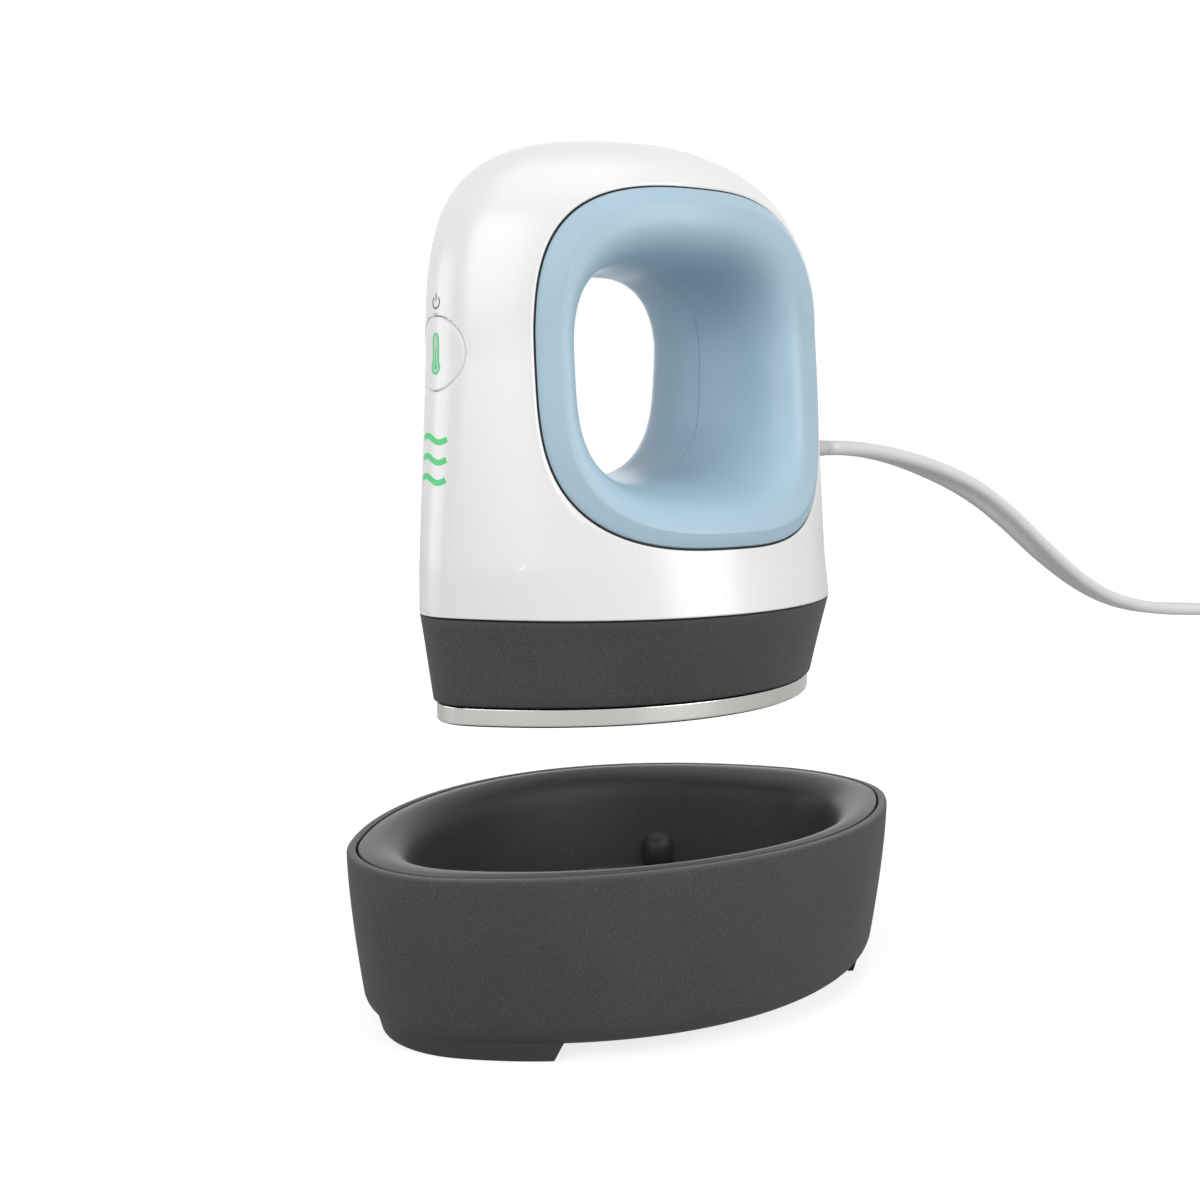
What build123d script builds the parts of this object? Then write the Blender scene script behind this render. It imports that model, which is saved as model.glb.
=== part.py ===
from build123d import *
import math
import os

# Mini handheld heat press, held above its safety base, in millimetres.
# +Z is up, -X is the front with the button, +X is the rear where the cord leaves.
# The origin lies on the floor under the middle of the base.

# Heat plate, its outline an almond: half length, half width and end radius
plate_half_length = 41.3
plate_half_width = 24.4
plate_end_radius = 12.0
plate_thickness = 3.1
plate_boss_radius = 2.6
plate_boss_end_x = 34.0
plate_boss_side_y = 18.8

# Heater stack on the plate
block_half_length = 30.6
block_half_width = 15.4
block_end_radius = 8.0
block_thickness = 4.0
element_width = 5.0
element_height = 3.0
element_edge = 1.0
element_gap = 6.0
terminal_radius = 1.2
terminal_y = 6.0
pad_thickness = 2.0
shield_thickness = 0.8
shield_margin = 5.4
sensor_radius = 1.4
sensor_y = 4.4
sensor_length = 9.0
lead_radius = 0.9

# Heat shroud, the dark band that flares up from the plate to the housing
shroud_gap = 0.4
shroud_height = 15.2
shroud_overhang = 0.6
shroud_wall = 2.2
ledge_depth = 1.8
ledge_height = 2.5
ledge_top = 10.5

# Housing, half sizes where it meets the shroud and at its shoulders
seam_half_length = 44.3
seam_half_width = 30.3
seam_end_radius = 9.0
shoulder_half_length = 41.8
shoulder_half_width = 25.0
shoulder_end_radius = 11.5
housing_height = 80.6
front_shoulder = 42.8
rear_shoulder = 49.6
side_shoulder = 47.6
front_power = 3.3
rear_power = 2.13
side_power = 2.65
housing_wall = 2.2
section_shares = (0.0, 0.2, 0.4, 0.58, 0.73, 0.85, 0.93, 0.975, 0.995)

# Hand hole: its window in the housing, the crest of the grips and the throat between them
window_x = -0.4
window_height = 41.3
window_half_length = 32.1
window_half_height = 30.4
window_front_power = 3.4
window_rear_power = 2.8
window_gap = 0.3
throat_x = -4.0
throat_height = 40.2
throat_half_length = 19.8
throat_half_height = 17.8
throat_power = 3.3
crest_band = 2.5
crest_rise = 0.7
grip_wall = 2.0
roll_power = 2.4
roll_depth_ends = 19.0
roll_depth_top = 20.5
roll_depth_bottom = 28.0
roll_spread = 0.5
throat_stations = (0.0, 6.0, 11.0, 15.0, 18.0, 20.0, 23.0, 28.0, 34.0)
outline_points = 24

# Button, thermometer window and wave lights on the front end
button_height = 43.6
button_radius = 6.1
button_gap = 0.25
button_flange = 1.0
button_flange_depth = 1.0
button_flange_gap = 0.4
button_travel = 0.6
thermometer_width = 1.9
thermometer_length = 6.9
bulb_radius = 1.3
wave_heights = (22.8, 26.2, 29.6)
wave_half_width = 3.5
wave_swing = 0.55
wave_stroke = 1.0
window_back = 4.4

# Chassis, boards and fastenings inside
chassis_floor = 2.5
chassis_gap = 0.2
gasket_width = 1.0
gasket_height = 2.1
pad_radius = 3.0
pad_height = 2.4
housing_screw_x = 28.0
housing_screw_y = 11.5
housing_boss_height = 14.0
board_half_length = 24.5
board_half_width = 16.0
board_thickness = 1.6
board_post_x = 20.0
board_post_y = 12.0
board_post_radius = 2.6
board_post_height = 6.5
screw_radius = 1.1
screw_head_radius = 2.1
screw_head_height = 1.3
screw_bite = 6.0
thread_clearance = 0.02
shank_clearance = 0.15
light_board_x = -33.0
light_board_half_width = 7.5
light_board_height = 55.0
light_board_notch = 2.6
switch_size = 6.0
switch_depth = 2.6
actuator_radius = 1.6
actuator_height = 1.0
led_size = 2.0
led_depth = 1.2
led_side_y = 5.0
tall_part_gap = 3.5
relay_length = 18.0
relay_width = 10.0
relay_place = (-8.0, -7.0)
capacitor_radius = 5.0
capacitor_place = (6.0, 7.5)
buzzer_radius = 4.6
buzzer_height = 5.0
buzzer_place = (-14.0, 7.0)
terminal_block_size = (7.0, 12.0, 7.5)
terminal_block_place = (18.5, 0.0)

# Strain relief and cord
cord_height = 26.7
cord_width = 5.6
relief_reach = 5.0
relief_root_radius = 4.3
relief_tip_radius = 3.3
relief_flange_radius = 5.8
relief_flange_width = 1.5
relief_flange_depth = 4.8
relief_gap = 0.15
relief_tail = 5.0
lead_spacing = 3.4

# Base: outer shell, inner liner, feet and pad
base_half_length = 57.1
base_half_width = 39.4
base_end_radius = 24.0
base_height = 33.2
rim_dip = 1.4
base_wall = 1.6
base_corner = 4.8
base_taper = 3.6
foot_height = 3.7
foot_inset = 1.8
foot_start_x = 36.0
foot_slant = 0.7
groove_width = 0.35
lip_thickness = 2.6
lip_depth = 6.0
lip_edge = 0.7
dock_clearance = 1.5
opening_end_radius = 15.0
cavity_draft = 2.0
cavity_floor = 12.5
liner_wall = 2.0
rib_x = 24.0
rib_width = 5.0
rib_height = 7.0
rib_clearance = 1.0
mat_thickness = 1.5
mat_margin = 2.4
mat_notch = 0.6
base_screw_x = 28.0
base_screw_y = 13.0
base_screw_radius = 1.3
base_boss_radius = 3.2

# Where the press is held above the base
hover_height = 54.2

# Cord route from the strain relief to the floor, then a coil that holds the rest
cord_route = (
    (47.9, 0.0, 99.6),
    (56.5, 0.0, 99.6),
    (69.0, 0.0, 97.8),
    (82.0, 0.0, 94.5),
    (95.5, 0.0, 89.7),
    (107.7, 0.0, 82.9),
    (119.0, 0.0, 75.4),
    (131.3, 0.0, 68.3),
    (143.8, 0.0, 62.9),
    (159.6, 0.0, 59.3),
    (182.4, 0.0, 57.4),
    (207.0, -1.2, 55.8),
    (230.0, -4.5, 51.5),
    (250.0, -11.0, 45.0),
    (265.5, -21.5, 36.8),
    (274.0, -35.5, 28.0),
    (274.5, -51.0, 19.4),
    (267.0, -64.5, 11.8),
    (254.5, -72.6, 6.0),
    (240.5, -74.7, 2.85),
    (229.0, -74.7, 2.85),
)
coil_x = 205.0
coil_y = -38.0
coil_radius = 31.0
coil_width = 17.0
coil_height = 10.0
coil_lift = 0.9
coil_tail = 24.0
tie_width = 9.0
tie_thickness = 0.8
tie_clearance = 0.6
plug_length = 25.0
plug_width = 17.0
plug_height = 12.6
plug_neck_length = 12.0
pin_length = 15.9
pin_width = 6.35
pin_thickness = 1.5
pin_spacing = 12.7
pin_corner = 0.6

# Heights above the plate's pressing face, shared by the pieces of the press
shroud_low = plate_thickness + shroud_gap
seam = shroud_low + shroud_height
block_top = plate_thickness + block_thickness
element_top = block_top + element_height
pad_top = element_top + pad_thickness
shield_top = pad_top + shield_thickness
ledge = shroud_low + ledge_top
chassis_top = ledge + chassis_floor
pad_level = chassis_top + pad_height
board_low = chassis_top + board_post_height
board_top = board_low + board_thickness
tall_part_height = seam + throat_height - throat_half_height - grip_wall - tall_part_gap - board_top


# The base's opening lets the whole shroud in
opening_half_length = seam_half_length + dock_clearance
opening_half_width = seam_half_width + dock_clearance

os.makedirs("parts", exist_ok=True)


def save(name, shape):
    """Writes one sub-part, its solids kept apart inside one compound if there are several."""
    solids = shape.solids()
    export_step(solids[0] if len(solids) == 1 else Compound(children=list(solids)), f"parts/{name}.step")


def save_press(name, shape):
    """Writes a sub-part of the press, lifted from its own frame to where it is held."""
    save(name, Pos(0, 0, hover_height) * shape)


def four_corners(x, y):
    """Four places, one in each quarter."""
    return [(side_x * x, side_y * y) for side_x in (-1, 1) for side_y in (-1, 1)]


def side_arc(half_length, half_width, end_radius):
    """Radius of an almond's two side arcs."""
    reach = (half_length - end_radius) ** 2 + half_width**2 - end_radius**2
    return reach / (2 * (half_width - end_radius))


def oval(half_length, half_width, end_radius, z=0.0, x=0.0):
    """Almond outline: two broad side arcs, joined by a small arc at each end."""
    side_radius = side_arc(half_length, half_width, end_radius)
    share = side_radius / (side_radius - end_radius)
    join_x = (half_length - end_radius) * share
    join_y = (half_width - side_radius) * (1 - share)
    corners = ((-join_x, join_y), (join_x, join_y), (join_x, -join_y), (-join_x, -join_y))
    middles = ((0, half_width), (half_length, 0), (0, -half_width), (-half_length, 0))
    arcs = [ThreePointArc(corners[i], middles[i], corners[(i + 1) % 4]) for i in range(4)]
    return Pos(x, 0, z) * make_face(arcs)


def oval_prism(half_length, half_width, end_radius, low, high):
    """Upright almond prism between two heights."""
    return extrude(oval(half_length, half_width, end_radius, low), high - low)


def shroud_sizes(height):
    """Half length, half width and end radius of the flaring shroud at a height above the plate."""
    share = (height - shroud_low) / shroud_height
    low_length = plate_half_length + shroud_overhang
    low_width = plate_half_width + shroud_overhang
    return (
        low_length + (seam_half_length - low_length) * share,
        low_width + (seam_half_width - low_width) * share,
        plate_end_radius + (seam_end_radius - plate_end_radius) * share,
    )


def shroud_face(height, inset):
    """Outline of the shroud at a height above the plate, moved inwards."""
    return oval(*[size - inset for size in shroud_sizes(height)], height)


def shroud_solid(low, high, inset):
    """Solid inside the shroud's flare between two heights."""
    return loft([shroud_face(low, inset), shroud_face(high, inset)])


def half_size(height, low, high, shoulder, top, power):
    """Half size that tapers evenly up to the shoulder and then closes over the crown."""
    size = low - (low - high) * min(height, shoulder) / shoulder
    rise = max(0.0, (height - shoulder) / (top - shoulder))
    return size * (1 - rise**power) ** (1 / power)


def housing_face(height, inset=0.0):
    """Outline of the housing at a height above the seam, moved inwards by inset."""
    top = housing_height - inset
    low, high = seam_half_length - inset, shoulder_half_length - inset
    front = half_size(height, low, high, front_shoulder, top, front_power)
    rear = half_size(height, low, high, rear_shoulder, top, rear_power)
    width = half_size(
        height, seam_half_width - inset, shoulder_half_width - inset, side_shoulder, top, side_power
    )
    share = min(1.0, height / front_shoulder)
    radius = seam_end_radius + (shoulder_end_radius - seam_end_radius) * share - inset
    return oval((front + rear) / 2, width, min(radius, 0.6 * width), seam + height, (rear - front) / 2)


def housing_solid(inset=0.0, below=0.0):
    """Solid arch with the housing's outer form, moved inwards by inset."""
    shoulder = min(front_shoulder, rear_shoulder, side_shoulder)
    crown = housing_height - inset - shoulder
    heights = [-below] + [shoulder * share for share in (0.1, 0.25, 0.5, 0.75)]
    heights += [shoulder + crown * share for share in section_shares]
    return loft([housing_face(height, inset) for height in heights])


def squared_face(y, x, z, front, rear, up, down, powers):
    """Rounded-square outline across Y, with its own reach to the front, rear, top and bottom."""
    points = []
    for i in range(outline_points):
        turn = 2 * math.pi * i / outline_points
        along, across = math.cos(turn), math.sin(turn)
        power = powers[1] if along > 0 else powers[0]
        reach_x = rear if along > 0 else -front
        reach_z = up if across > 0 else -down
        points.append(
            (x + reach_x * abs(along) ** (2 / power), y, z + reach_z * abs(across) ** (2 / power))
        )
    return Face(Wire([Spline(points, periodic=True)]))


def window_solid(inset):
    """Prism through the press with the outline of the hand hole's window, moved inwards."""
    length, height = window_half_length - inset, window_half_height - inset
    powers = (window_front_power, window_rear_power)
    reach = seam_half_width + 5
    face = squared_face(-reach, window_x, seam + window_height, length, length, height, height, powers)
    return extrude(face, 2 * reach, dir=(0, 1, 0))


def roll(distance, depth):
    """Share of the way from throat to crest at a distance from the middle plane."""
    part = distance / depth
    if part >= 1:
        return 1 + roll_spread * (part - 1)
    return 1 - (1 - part**roll_power) ** (1 / roll_power)


def throat_solid(outset):
    """Hourglass space of the hand hole, swollen by outset to make the outside of its wall."""
    crest_length = window_half_length - crest_band
    crest_height = window_half_height - crest_band
    shift_x, shift_z = window_x - throat_x, window_height - throat_height
    faces = []
    for y in [-station for station in reversed(throat_stations)] + list(throat_stations[1:]):
        ends = roll(abs(y), roll_depth_ends)
        top = roll(abs(y), roll_depth_top)
        bottom = roll(abs(y), roll_depth_bottom)
        front = throat_half_length + ends * (crest_length - shift_x - throat_half_length)
        rear = throat_half_length + ends * (crest_length + shift_x - throat_half_length)
        up = throat_half_height + top * (crest_height + shift_z - throat_half_height)
        down = throat_half_height + bottom * (crest_height - shift_z - throat_half_height)
        powers = (throat_power, throat_power)
        reaches = [size + outset for size in (front, rear, up, down)]
        faces.append(squared_face(y, throat_x, seam + throat_height, *reaches, powers))
    return loft(faces)


def front_prism(face, depth=20.0):
    """Carries a face drawn in the front view, Y across and Z up, inwards from beyond the front."""
    start = -seam_half_length - 1
    return extrude(Plane(origin=(start, 0, 0), x_dir=(0, -1, 0), z_dir=(-1, 0, 0)) * face, -depth)


def slab(x_low, x_high, y_low, y_high, z_low, z_high):
    """Box between given corners."""
    middle = ((x_low + x_high) / 2, (y_low + y_high) / 2, (z_low + z_high) / 2)
    return Pos(*middle) * Box(x_high - x_low, y_high - y_low, z_high - z_low)


def post(x, y, radius, low, high):
    """Upright cylinder between two heights."""
    return Pos(x, y, (low + high) / 2) * Cylinder(radius, high - low)


def rod(x_low, x_high, y, z, radius):
    """Cylinder that lies along X."""
    return Pos((x_low + x_high) / 2, y, z) * Rot(0, 90, 0) * Cylinder(radius, x_high - x_low)


def screw(x, y, seat, tip):
    """Pan-head screw that points down from its seat, or up where its tip is above the seat."""
    head = seat + math.copysign(screw_head_height, seat - tip)
    return post(x, y, screw_radius, min(seat, tip), max(seat, tip)) + post(
        x, y, screw_head_radius, min(seat, head), max(seat, head)
    )


# Heat plate: almond of aluminium with four bosses that carry it
plate_bosses = [(-plate_boss_end_x, 0), (plate_boss_end_x, 0), (0, -plate_boss_side_y), (0, plate_boss_side_y)]
heat_plate = oval_prism(plate_half_length, plate_half_width, plate_end_radius, 0, plate_thickness)
for x, y in plate_bosses:
    heat_plate += post(x, y, plate_boss_radius, plate_thickness, ledge)
    heat_plate -= post(x, y, screw_radius + thread_clearance, ledge - screw_bite, ledge)
save_press("heat_plate", heat_plate)
save_press("plate_screws", Compound(children=[screw(x, y, chassis_top, ledge - screw_bite + 0.5) for x, y in plate_bosses]))

# Heater block with a horseshoe element on it, both between the plate's bosses
heater_block = oval_prism(block_half_length, block_half_width, block_end_radius, plate_thickness, block_top)
save_press("heater_block", heater_block)


def element_outline(edge):
    """Almond prism over the block, set in from its edge."""
    return oval_prism(
        block_half_length - edge, block_half_width - edge, block_end_radius - edge, block_top, element_top
    )


terminal_x = block_half_length - element_edge - element_width / 2
heating_element = element_outline(element_edge) - element_outline(element_edge + element_width)
heating_element -= slab(0, block_half_length, -element_gap / 2, element_gap / 2, block_top, element_top)
for side in (-1, 1):
    heating_element += post(terminal_x - 1.5, side * terminal_y, terminal_radius, block_top, board_low - 3)
save_press("heating_element", heating_element)

# Insulation pad and sheet steel shield over the element
terminal_holes = Compound(
    children=[post(terminal_x - 1.5, side * terminal_y, terminal_radius + 0.8, element_top, pad_level) for side in (-1, 1)]
)
insulation_pad = oval_prism(block_half_length, block_half_width, block_end_radius, element_top, pad_top)
save_press("insulation_pad", insulation_pad - terminal_holes)
heat_shield = oval_prism(
    block_half_length + shield_margin, block_half_width + shield_margin, block_end_radius + 4, pad_top, shield_top
)
for x, y in plate_bosses:
    heat_shield -= post(x, y, plate_boss_radius + 0.3, pad_top, shield_top)
save_press("heat_shield", heat_shield - terminal_holes)

# Temperature sensor and thermal fuse, clamped between block and pad
sensor_level = block_top + sensor_radius
save_press("thermistor", rod(-sensor_length / 2, sensor_length / 2, sensor_y, sensor_level, sensor_radius))
save_press("thermal_fuse", rod(-sensor_length / 2, sensor_length / 2, -sensor_y, sensor_level, sensor_radius))

# Heat shroud with the inner ledge that carries the chassis
heat_shroud = shroud_solid(shroud_low, seam, 0) - shroud_solid(shroud_low, seam, shroud_wall)
ledge_low = ledge - ledge_height
heat_shroud += shroud_solid(ledge_low, ledge, shroud_wall - 0.5) - shroud_solid(
    ledge_low, ledge, shroud_wall + ledge_depth
)
save_press("heat_shroud", heat_shroud)

# Inner chassis: floor on the ledge, pads for the housing screws, posts for the board
housing_screws = four_corners(housing_screw_x, housing_screw_y)
board_posts = four_corners(board_post_x, board_post_y)
inner_chassis = shroud_solid(ledge, chassis_top, shroud_wall + chassis_gap)
for x, y in housing_screws:
    inner_chassis += post(x, y, pad_radius, chassis_top, pad_level)
    inner_chassis -= post(x, y, screw_radius + shank_clearance, ledge, pad_level)
    inner_chassis -= post(x, y, screw_head_radius + shank_clearance, ledge, ledge + screw_head_height + 0.1)
for x, y in board_posts:
    inner_chassis += post(x, y, board_post_radius, chassis_top, board_low)
    inner_chassis -= post(x, y, screw_radius + thread_clearance, board_low - screw_bite, board_low)
for x, y in plate_bosses:
    inner_chassis -= post(x, y, screw_radius + shank_clearance, ledge, chassis_top)
save_press("inner_chassis", inner_chassis - terminal_holes)

# Silicone gasket that stands on the chassis edge and seals the shroud's inside
gasket_inset = shroud_wall + chassis_gap
gasket_top = chassis_top + gasket_height
silicone_gasket = shroud_solid(chassis_top, gasket_top, gasket_inset) - shroud_solid(
    chassis_top, gasket_top, gasket_inset + gasket_width
)
save_press("silicone_gasket", silicone_gasket)

# Housing: arched shell, open below, with its window, light slots, cord hole and screw bosses
housing_outside = housing_solid()
housing_inside = housing_solid(housing_wall, below=1.0)
housing_bosses = Part()
for x, y in housing_screws:
    wall_y = math.copysign(seam_half_width, y)
    boss_top = pad_level + housing_boss_height
    housing_bosses += post(x, y, pad_radius, pad_level, boss_top)
    housing_bosses += slab(x - 1, x + 1, min(y, wall_y), max(y, wall_y), seam + 1, boss_top)
housing_shell = housing_outside - housing_inside + (housing_bosses & (housing_outside + housing_inside))
for x, y in housing_screws:
    housing_shell -= post(x, y, screw_radius + thread_clearance, pad_level, pad_level + screw_bite)
housing_shell -= window_solid(-window_gap / 2)


def front_circle(radius):
    """Disc around the button's centre, in the front view."""
    return Pos(0, seam + button_height) * Circle(radius)


def wave_face(height):
    """One wave light in the front view: a ribbon that swings once up and once down."""
    steps = 12
    line = [
        (-wave_half_width + 2 * wave_half_width * i / steps, wave_swing * math.sin(2 * math.pi * i / steps))
        for i in range(steps + 1)
    ]
    upper = Spline([(y, z + wave_stroke / 2) for y, z in line])
    lower = Spline([(y, z - wave_stroke / 2) for y, z in line])
    sides = [Line(lower @ 0, upper @ 0), Line(lower @ 1, upper @ 1)]
    return Pos(0, seam + height) * make_face([upper, lower, *sides])


wave_prism = Compound(children=[front_prism(wave_face(height), window_back + 3) for height in wave_heights])
relief_place = seam + cord_height
housing_shell -= front_prism(front_circle(button_radius + button_gap))
housing_shell -= wave_prism
housing_shell -= rod(20, 60, 0, relief_place, relief_root_radius + relief_gap)
save_press("housing_shell", housing_shell)
save_press("wave_windows", wave_prism & housing_outside)
save_press(
    "housing_fixing_screws",
    Compound(children=[screw(x, y, ledge + screw_head_height + 0.1, pad_level + screw_bite - 0.5) for x, y in housing_screws]),
)

# Grip inserts: a face that follows the housing, rolling into the wall of the hand hole
grip_envelope = housing_solid(-crest_rise) & window_solid(window_gap / 2)
grip_face = grip_envelope - housing_solid(housing_wall, below=1.0)
grip_pair = (grip_face + (throat_solid(grip_wall) & grip_envelope)) - throat_solid(0)
left_half = slab(-60, 60, -60, 0, seam - 1, seam + housing_height + 1)
grip_left = grip_pair & left_half
save_press("grip_insert_left", grip_left)
save_press("grip_insert_right", mirror(grip_left, Plane.XZ))

# Button cap: disc flush with the front, with a flange behind the housing wall
thermometer_low = seam + button_height - thermometer_length / 2
thermometer_face = (
    Pos(0, seam + button_height) * SlotOverall(thermometer_length, thermometer_width, rotation=90)
    + Pos(0, thermometer_low + bulb_radius / 2) * Circle(bulb_radius)
)
cap_back = housing_wall + button_flange_gap + button_flange_depth
cap_core = front_prism(front_circle(button_radius)) & (housing_outside - housing_solid(cap_back))
cap_flange = front_prism(front_circle(button_radius + button_flange)) & (
    housing_solid(housing_wall + button_flange_gap) - housing_solid(cap_back)
)
thermometer_prism = front_prism(thermometer_face)
button_cap = cap_core + cap_flange
save_press("button_cap", button_cap - thermometer_prism)
save_press("thermometer_window", button_cap & thermometer_prism)

# Control board and its parts
control_board = slab(
    -board_half_length, board_half_length, -board_half_width, board_half_width, board_low, board_top
)
for x, y in board_posts:
    control_board -= post(x, y, screw_radius + shank_clearance, board_low, board_top)
save_press("control_board", control_board)
save_press(
    "board_screws",
    Compound(children=[screw(x, y, board_top, board_low - screw_bite + 0.5) for x, y in board_posts]),
)


def on_board(size, place):
    """Box that stands on the control board."""
    return Pos(*place, board_top + size[2] / 2) * Box(*size)


save_press("power_relay", on_board((relay_length, relay_width, tall_part_height), relay_place))
save_press("terminal_block", on_board(terminal_block_size, terminal_block_place))
save_press("capacitor", post(*capacitor_place, capacitor_radius, board_top, board_top + tall_part_height))
save_press("buzzer", post(*buzzer_place, buzzer_radius, board_top, board_top + buzzer_height))

# Light board: stands on the chassis behind the front end, notched over a plate screw
light_board_front = light_board_x - board_thickness / 2
light_board_back = light_board_x + board_thickness / 2
light_board_top = chassis_top + light_board_height
light_board = slab(
    light_board_front,
    light_board_back,
    -light_board_half_width,
    light_board_half_width,
    chassis_top,
    light_board_top,
)
light_board -= slab(
    light_board_front, light_board_back, -light_board_notch, light_board_notch, chassis_top, chassis_top + 2
)
save_press("light_board", light_board)
button_level = seam + button_height
half_switch = switch_size / 2
tactile_switch = slab(
    light_board_front - switch_depth,
    light_board_front,
    -half_switch,
    half_switch,
    button_level - half_switch,
    button_level + half_switch,
)
actuator_tip = light_board_front - switch_depth - actuator_height
tactile_switch += rod(actuator_tip, light_board_front - switch_depth, 0, button_level, actuator_radius)
save_press("tactile_switch", tactile_switch)
led_places = [(0, seam + height) for height in wave_heights]
led_places += [(side * led_side_y, button_level) for side in (-1, 1)]
indicator_leds = [
    slab(
        light_board_front - led_depth,
        light_board_front,
        y - led_size / 2,
        y + led_size / 2,
        z - led_size / 2,
        z + led_size / 2,
    )
    for y, z in led_places
]
save_press("indicator_leds", Compound(children=indicator_leds))

# Leads inside: from the heating element up to the board, from the cord to the terminal block
heater_leads = [
    post(terminal_x - 1.5, side * terminal_y, lead_radius, board_low - 3, board_low) for side in (-1, 1)
]
save_press("heater_leads", Compound(children=heater_leads))
rear_wall_x = half_size(
    cord_height, seam_half_length, shoulder_half_length, rear_shoulder, housing_height, rear_power
)
relief_tip_x = rear_wall_x + relief_reach
flange_x = rear_wall_x - relief_flange_depth - relief_flange_width
relief_inner_x = flange_x - relief_tail
lead_drop_x = terminal_block_place[0] + 1.5
lead_top = board_top + terminal_block_size[2]
mains_leads = []
for side in (-1, 1):
    y = side * lead_spacing / 2
    path = FilletPolyline(
        (relief_inner_x, y, relief_place), (lead_drop_x, y, relief_place), (lead_drop_x, y, lead_top), radius=6
    )
    mains_leads.append(sweep(Plane(path @ 0, z_dir=path % 0) * Circle(lead_radius), path))
save_press("mains_leads", Compound(children=mains_leads))

# Strain relief, moulded round the cord: tail, flange behind the wall, and a short tapered nose
strain_relief = rod(relief_inner_x, flange_x, 0, relief_place, relief_tip_radius)
strain_relief += rod(flange_x, flange_x + relief_flange_width, 0, relief_place, relief_flange_radius)
strain_relief += rod(flange_x, rear_wall_x, 0, relief_place, relief_root_radius)
nose = Pos((rear_wall_x + relief_tip_x) / 2, 0, relief_place) * Rot(0, 90, 0) * Cone(
    relief_root_radius, relief_tip_radius, relief_tip_x - rear_wall_x
)
save_press("strain_relief", strain_relief + nose)


# Base: the outer form, tapering down to a rounded bottom edge
def base_face(height, inset):
    """Outline of the base at a height above the floor, moved inwards by inset."""
    drop = max(0.0, base_height - height) / (base_height - foot_height)
    shrink = base_taper * drop**1.6 + inset
    return oval(base_half_length - shrink, base_half_width - shrink, base_end_radius - shrink, height)


def base_solid(inset, low):
    """Solid with the base's outer form above a height, moved inwards by inset."""
    heights = (low, (low + base_height) / 2, base_height + 3)
    form = loft([base_face(height, inset) for height in heights])
    return fillet(form.edges().group_by(Axis.Z)[0], base_corner - inset)


# The rim is arched: a wide cylinder across it trims the ends lower than the sides
rim_radius = base_half_length**2 / (2 * rim_dip)
rim_trim = Pos(0, 0, base_height - rim_radius) * Rot(90, 0, 0) * Cylinder(rim_radius, 4 * base_half_width)
rim_trim &= slab(-80, 80, -80, 80, 0, 80)
base_outside = base_solid(0, foot_height)
base_shell = (base_outside - base_solid(base_wall, foot_height + base_wall)) & rim_trim
base_screws = four_corners(base_screw_x, base_screw_y)
for x, y in base_screws:
    base_shell -= post(x, y, base_screw_radius + shank_clearance, foot_height, foot_height + base_wall)
save("base_shell", base_shell)

# Liner: lip that rolls into the cavity, cavity wall, floor, centring ribs and screw bosses
opening_level = base_height - lip_depth


def cavity_face(height, outset=0.0):
    """Outline of the cavity at a height: drafted wall, then the roll of the lip."""
    length, width, radius = opening_half_length, opening_half_width, opening_end_radius
    if height <= opening_level:
        shrink = cavity_draft * (opening_level - height) / (opening_level - cavity_floor)
        return oval(length - shrink + outset, width - shrink + outset, radius - shrink + outset, height)
    share = ((height - opening_level) / lip_depth) ** 2
    edge = base_wall + groove_width + lip_edge
    length += share * (base_half_length - edge - opening_half_length)
    width += share * (base_half_width - edge - opening_half_width)
    radius += share * (base_end_radius - edge - opening_end_radius)
    return oval(length + outset, width + outset, radius + outset, height)


def cavity_solid(floor, outset=0.0):
    """Space inside the liner above a floor, swollen by outset."""
    lip_heights = [opening_level + lip_depth * share for share in (0.0, 0.25, 0.5, 0.75, 1.0, 1.15)]
    lower = loft([cavity_face(height, outset) for height in (floor, opening_level)])
    return lower + loft([cavity_face(height, outset) for height in lip_heights])


liner_outside = base_solid(base_wall + groove_width, foot_height + base_wall + groove_width)
liner_low = cavity_floor - liner_wall

# The ribs end just beside the put-down shroud, whose plate then stands a little above the mat
docked_height = base_height - seam
shroud_half = shroud_sizes(cavity_floor + rib_height - docked_height)
shroud_arc = side_arc(*shroud_half)
rib_inner_x = rib_x - rib_width / 2
rib_tip_y = shroud_half[1] - shroud_arc + math.sqrt(shroud_arc**2 - rib_inner_x**2) + rib_clearance
lip_low = base_height - rim_dip - lip_thickness
lip = liner_outside & slab(-80, 80, -80, 80, lip_low, base_height + 5)
bowl = cavity_solid(liner_low, liner_wall) & liner_outside
base_liner = (lip + bowl) & rim_trim
base_liner -= cavity_solid(cavity_floor)
bowl_space = cavity_solid(cavity_floor, 0.5)
for x, y in four_corners(rib_x, rib_tip_y):
    outer_y = math.copysign(opening_half_width, y)
    half = rib_width / 2
    crest = cavity_floor + rib_height - half
    rib = slab(x - half, x + half, min(y, outer_y), max(y, outer_y), cavity_floor - 0.5, crest)
    cap = Pos(x, (y + outer_y) / 2, crest) * Rot(90, 0, 0) * Cylinder(half, abs(outer_y - y))
    base_liner += (rib + cap) & (bowl_space + bowl)
for x, y in base_screws:
    base_liner += post(x, y, base_boss_radius, foot_height + base_wall, liner_low + 0.5)
    base_liner -= post(x, y, base_screw_radius + thread_clearance, foot_height + base_wall, liner_low)
save("base_liner", base_liner)

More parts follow.
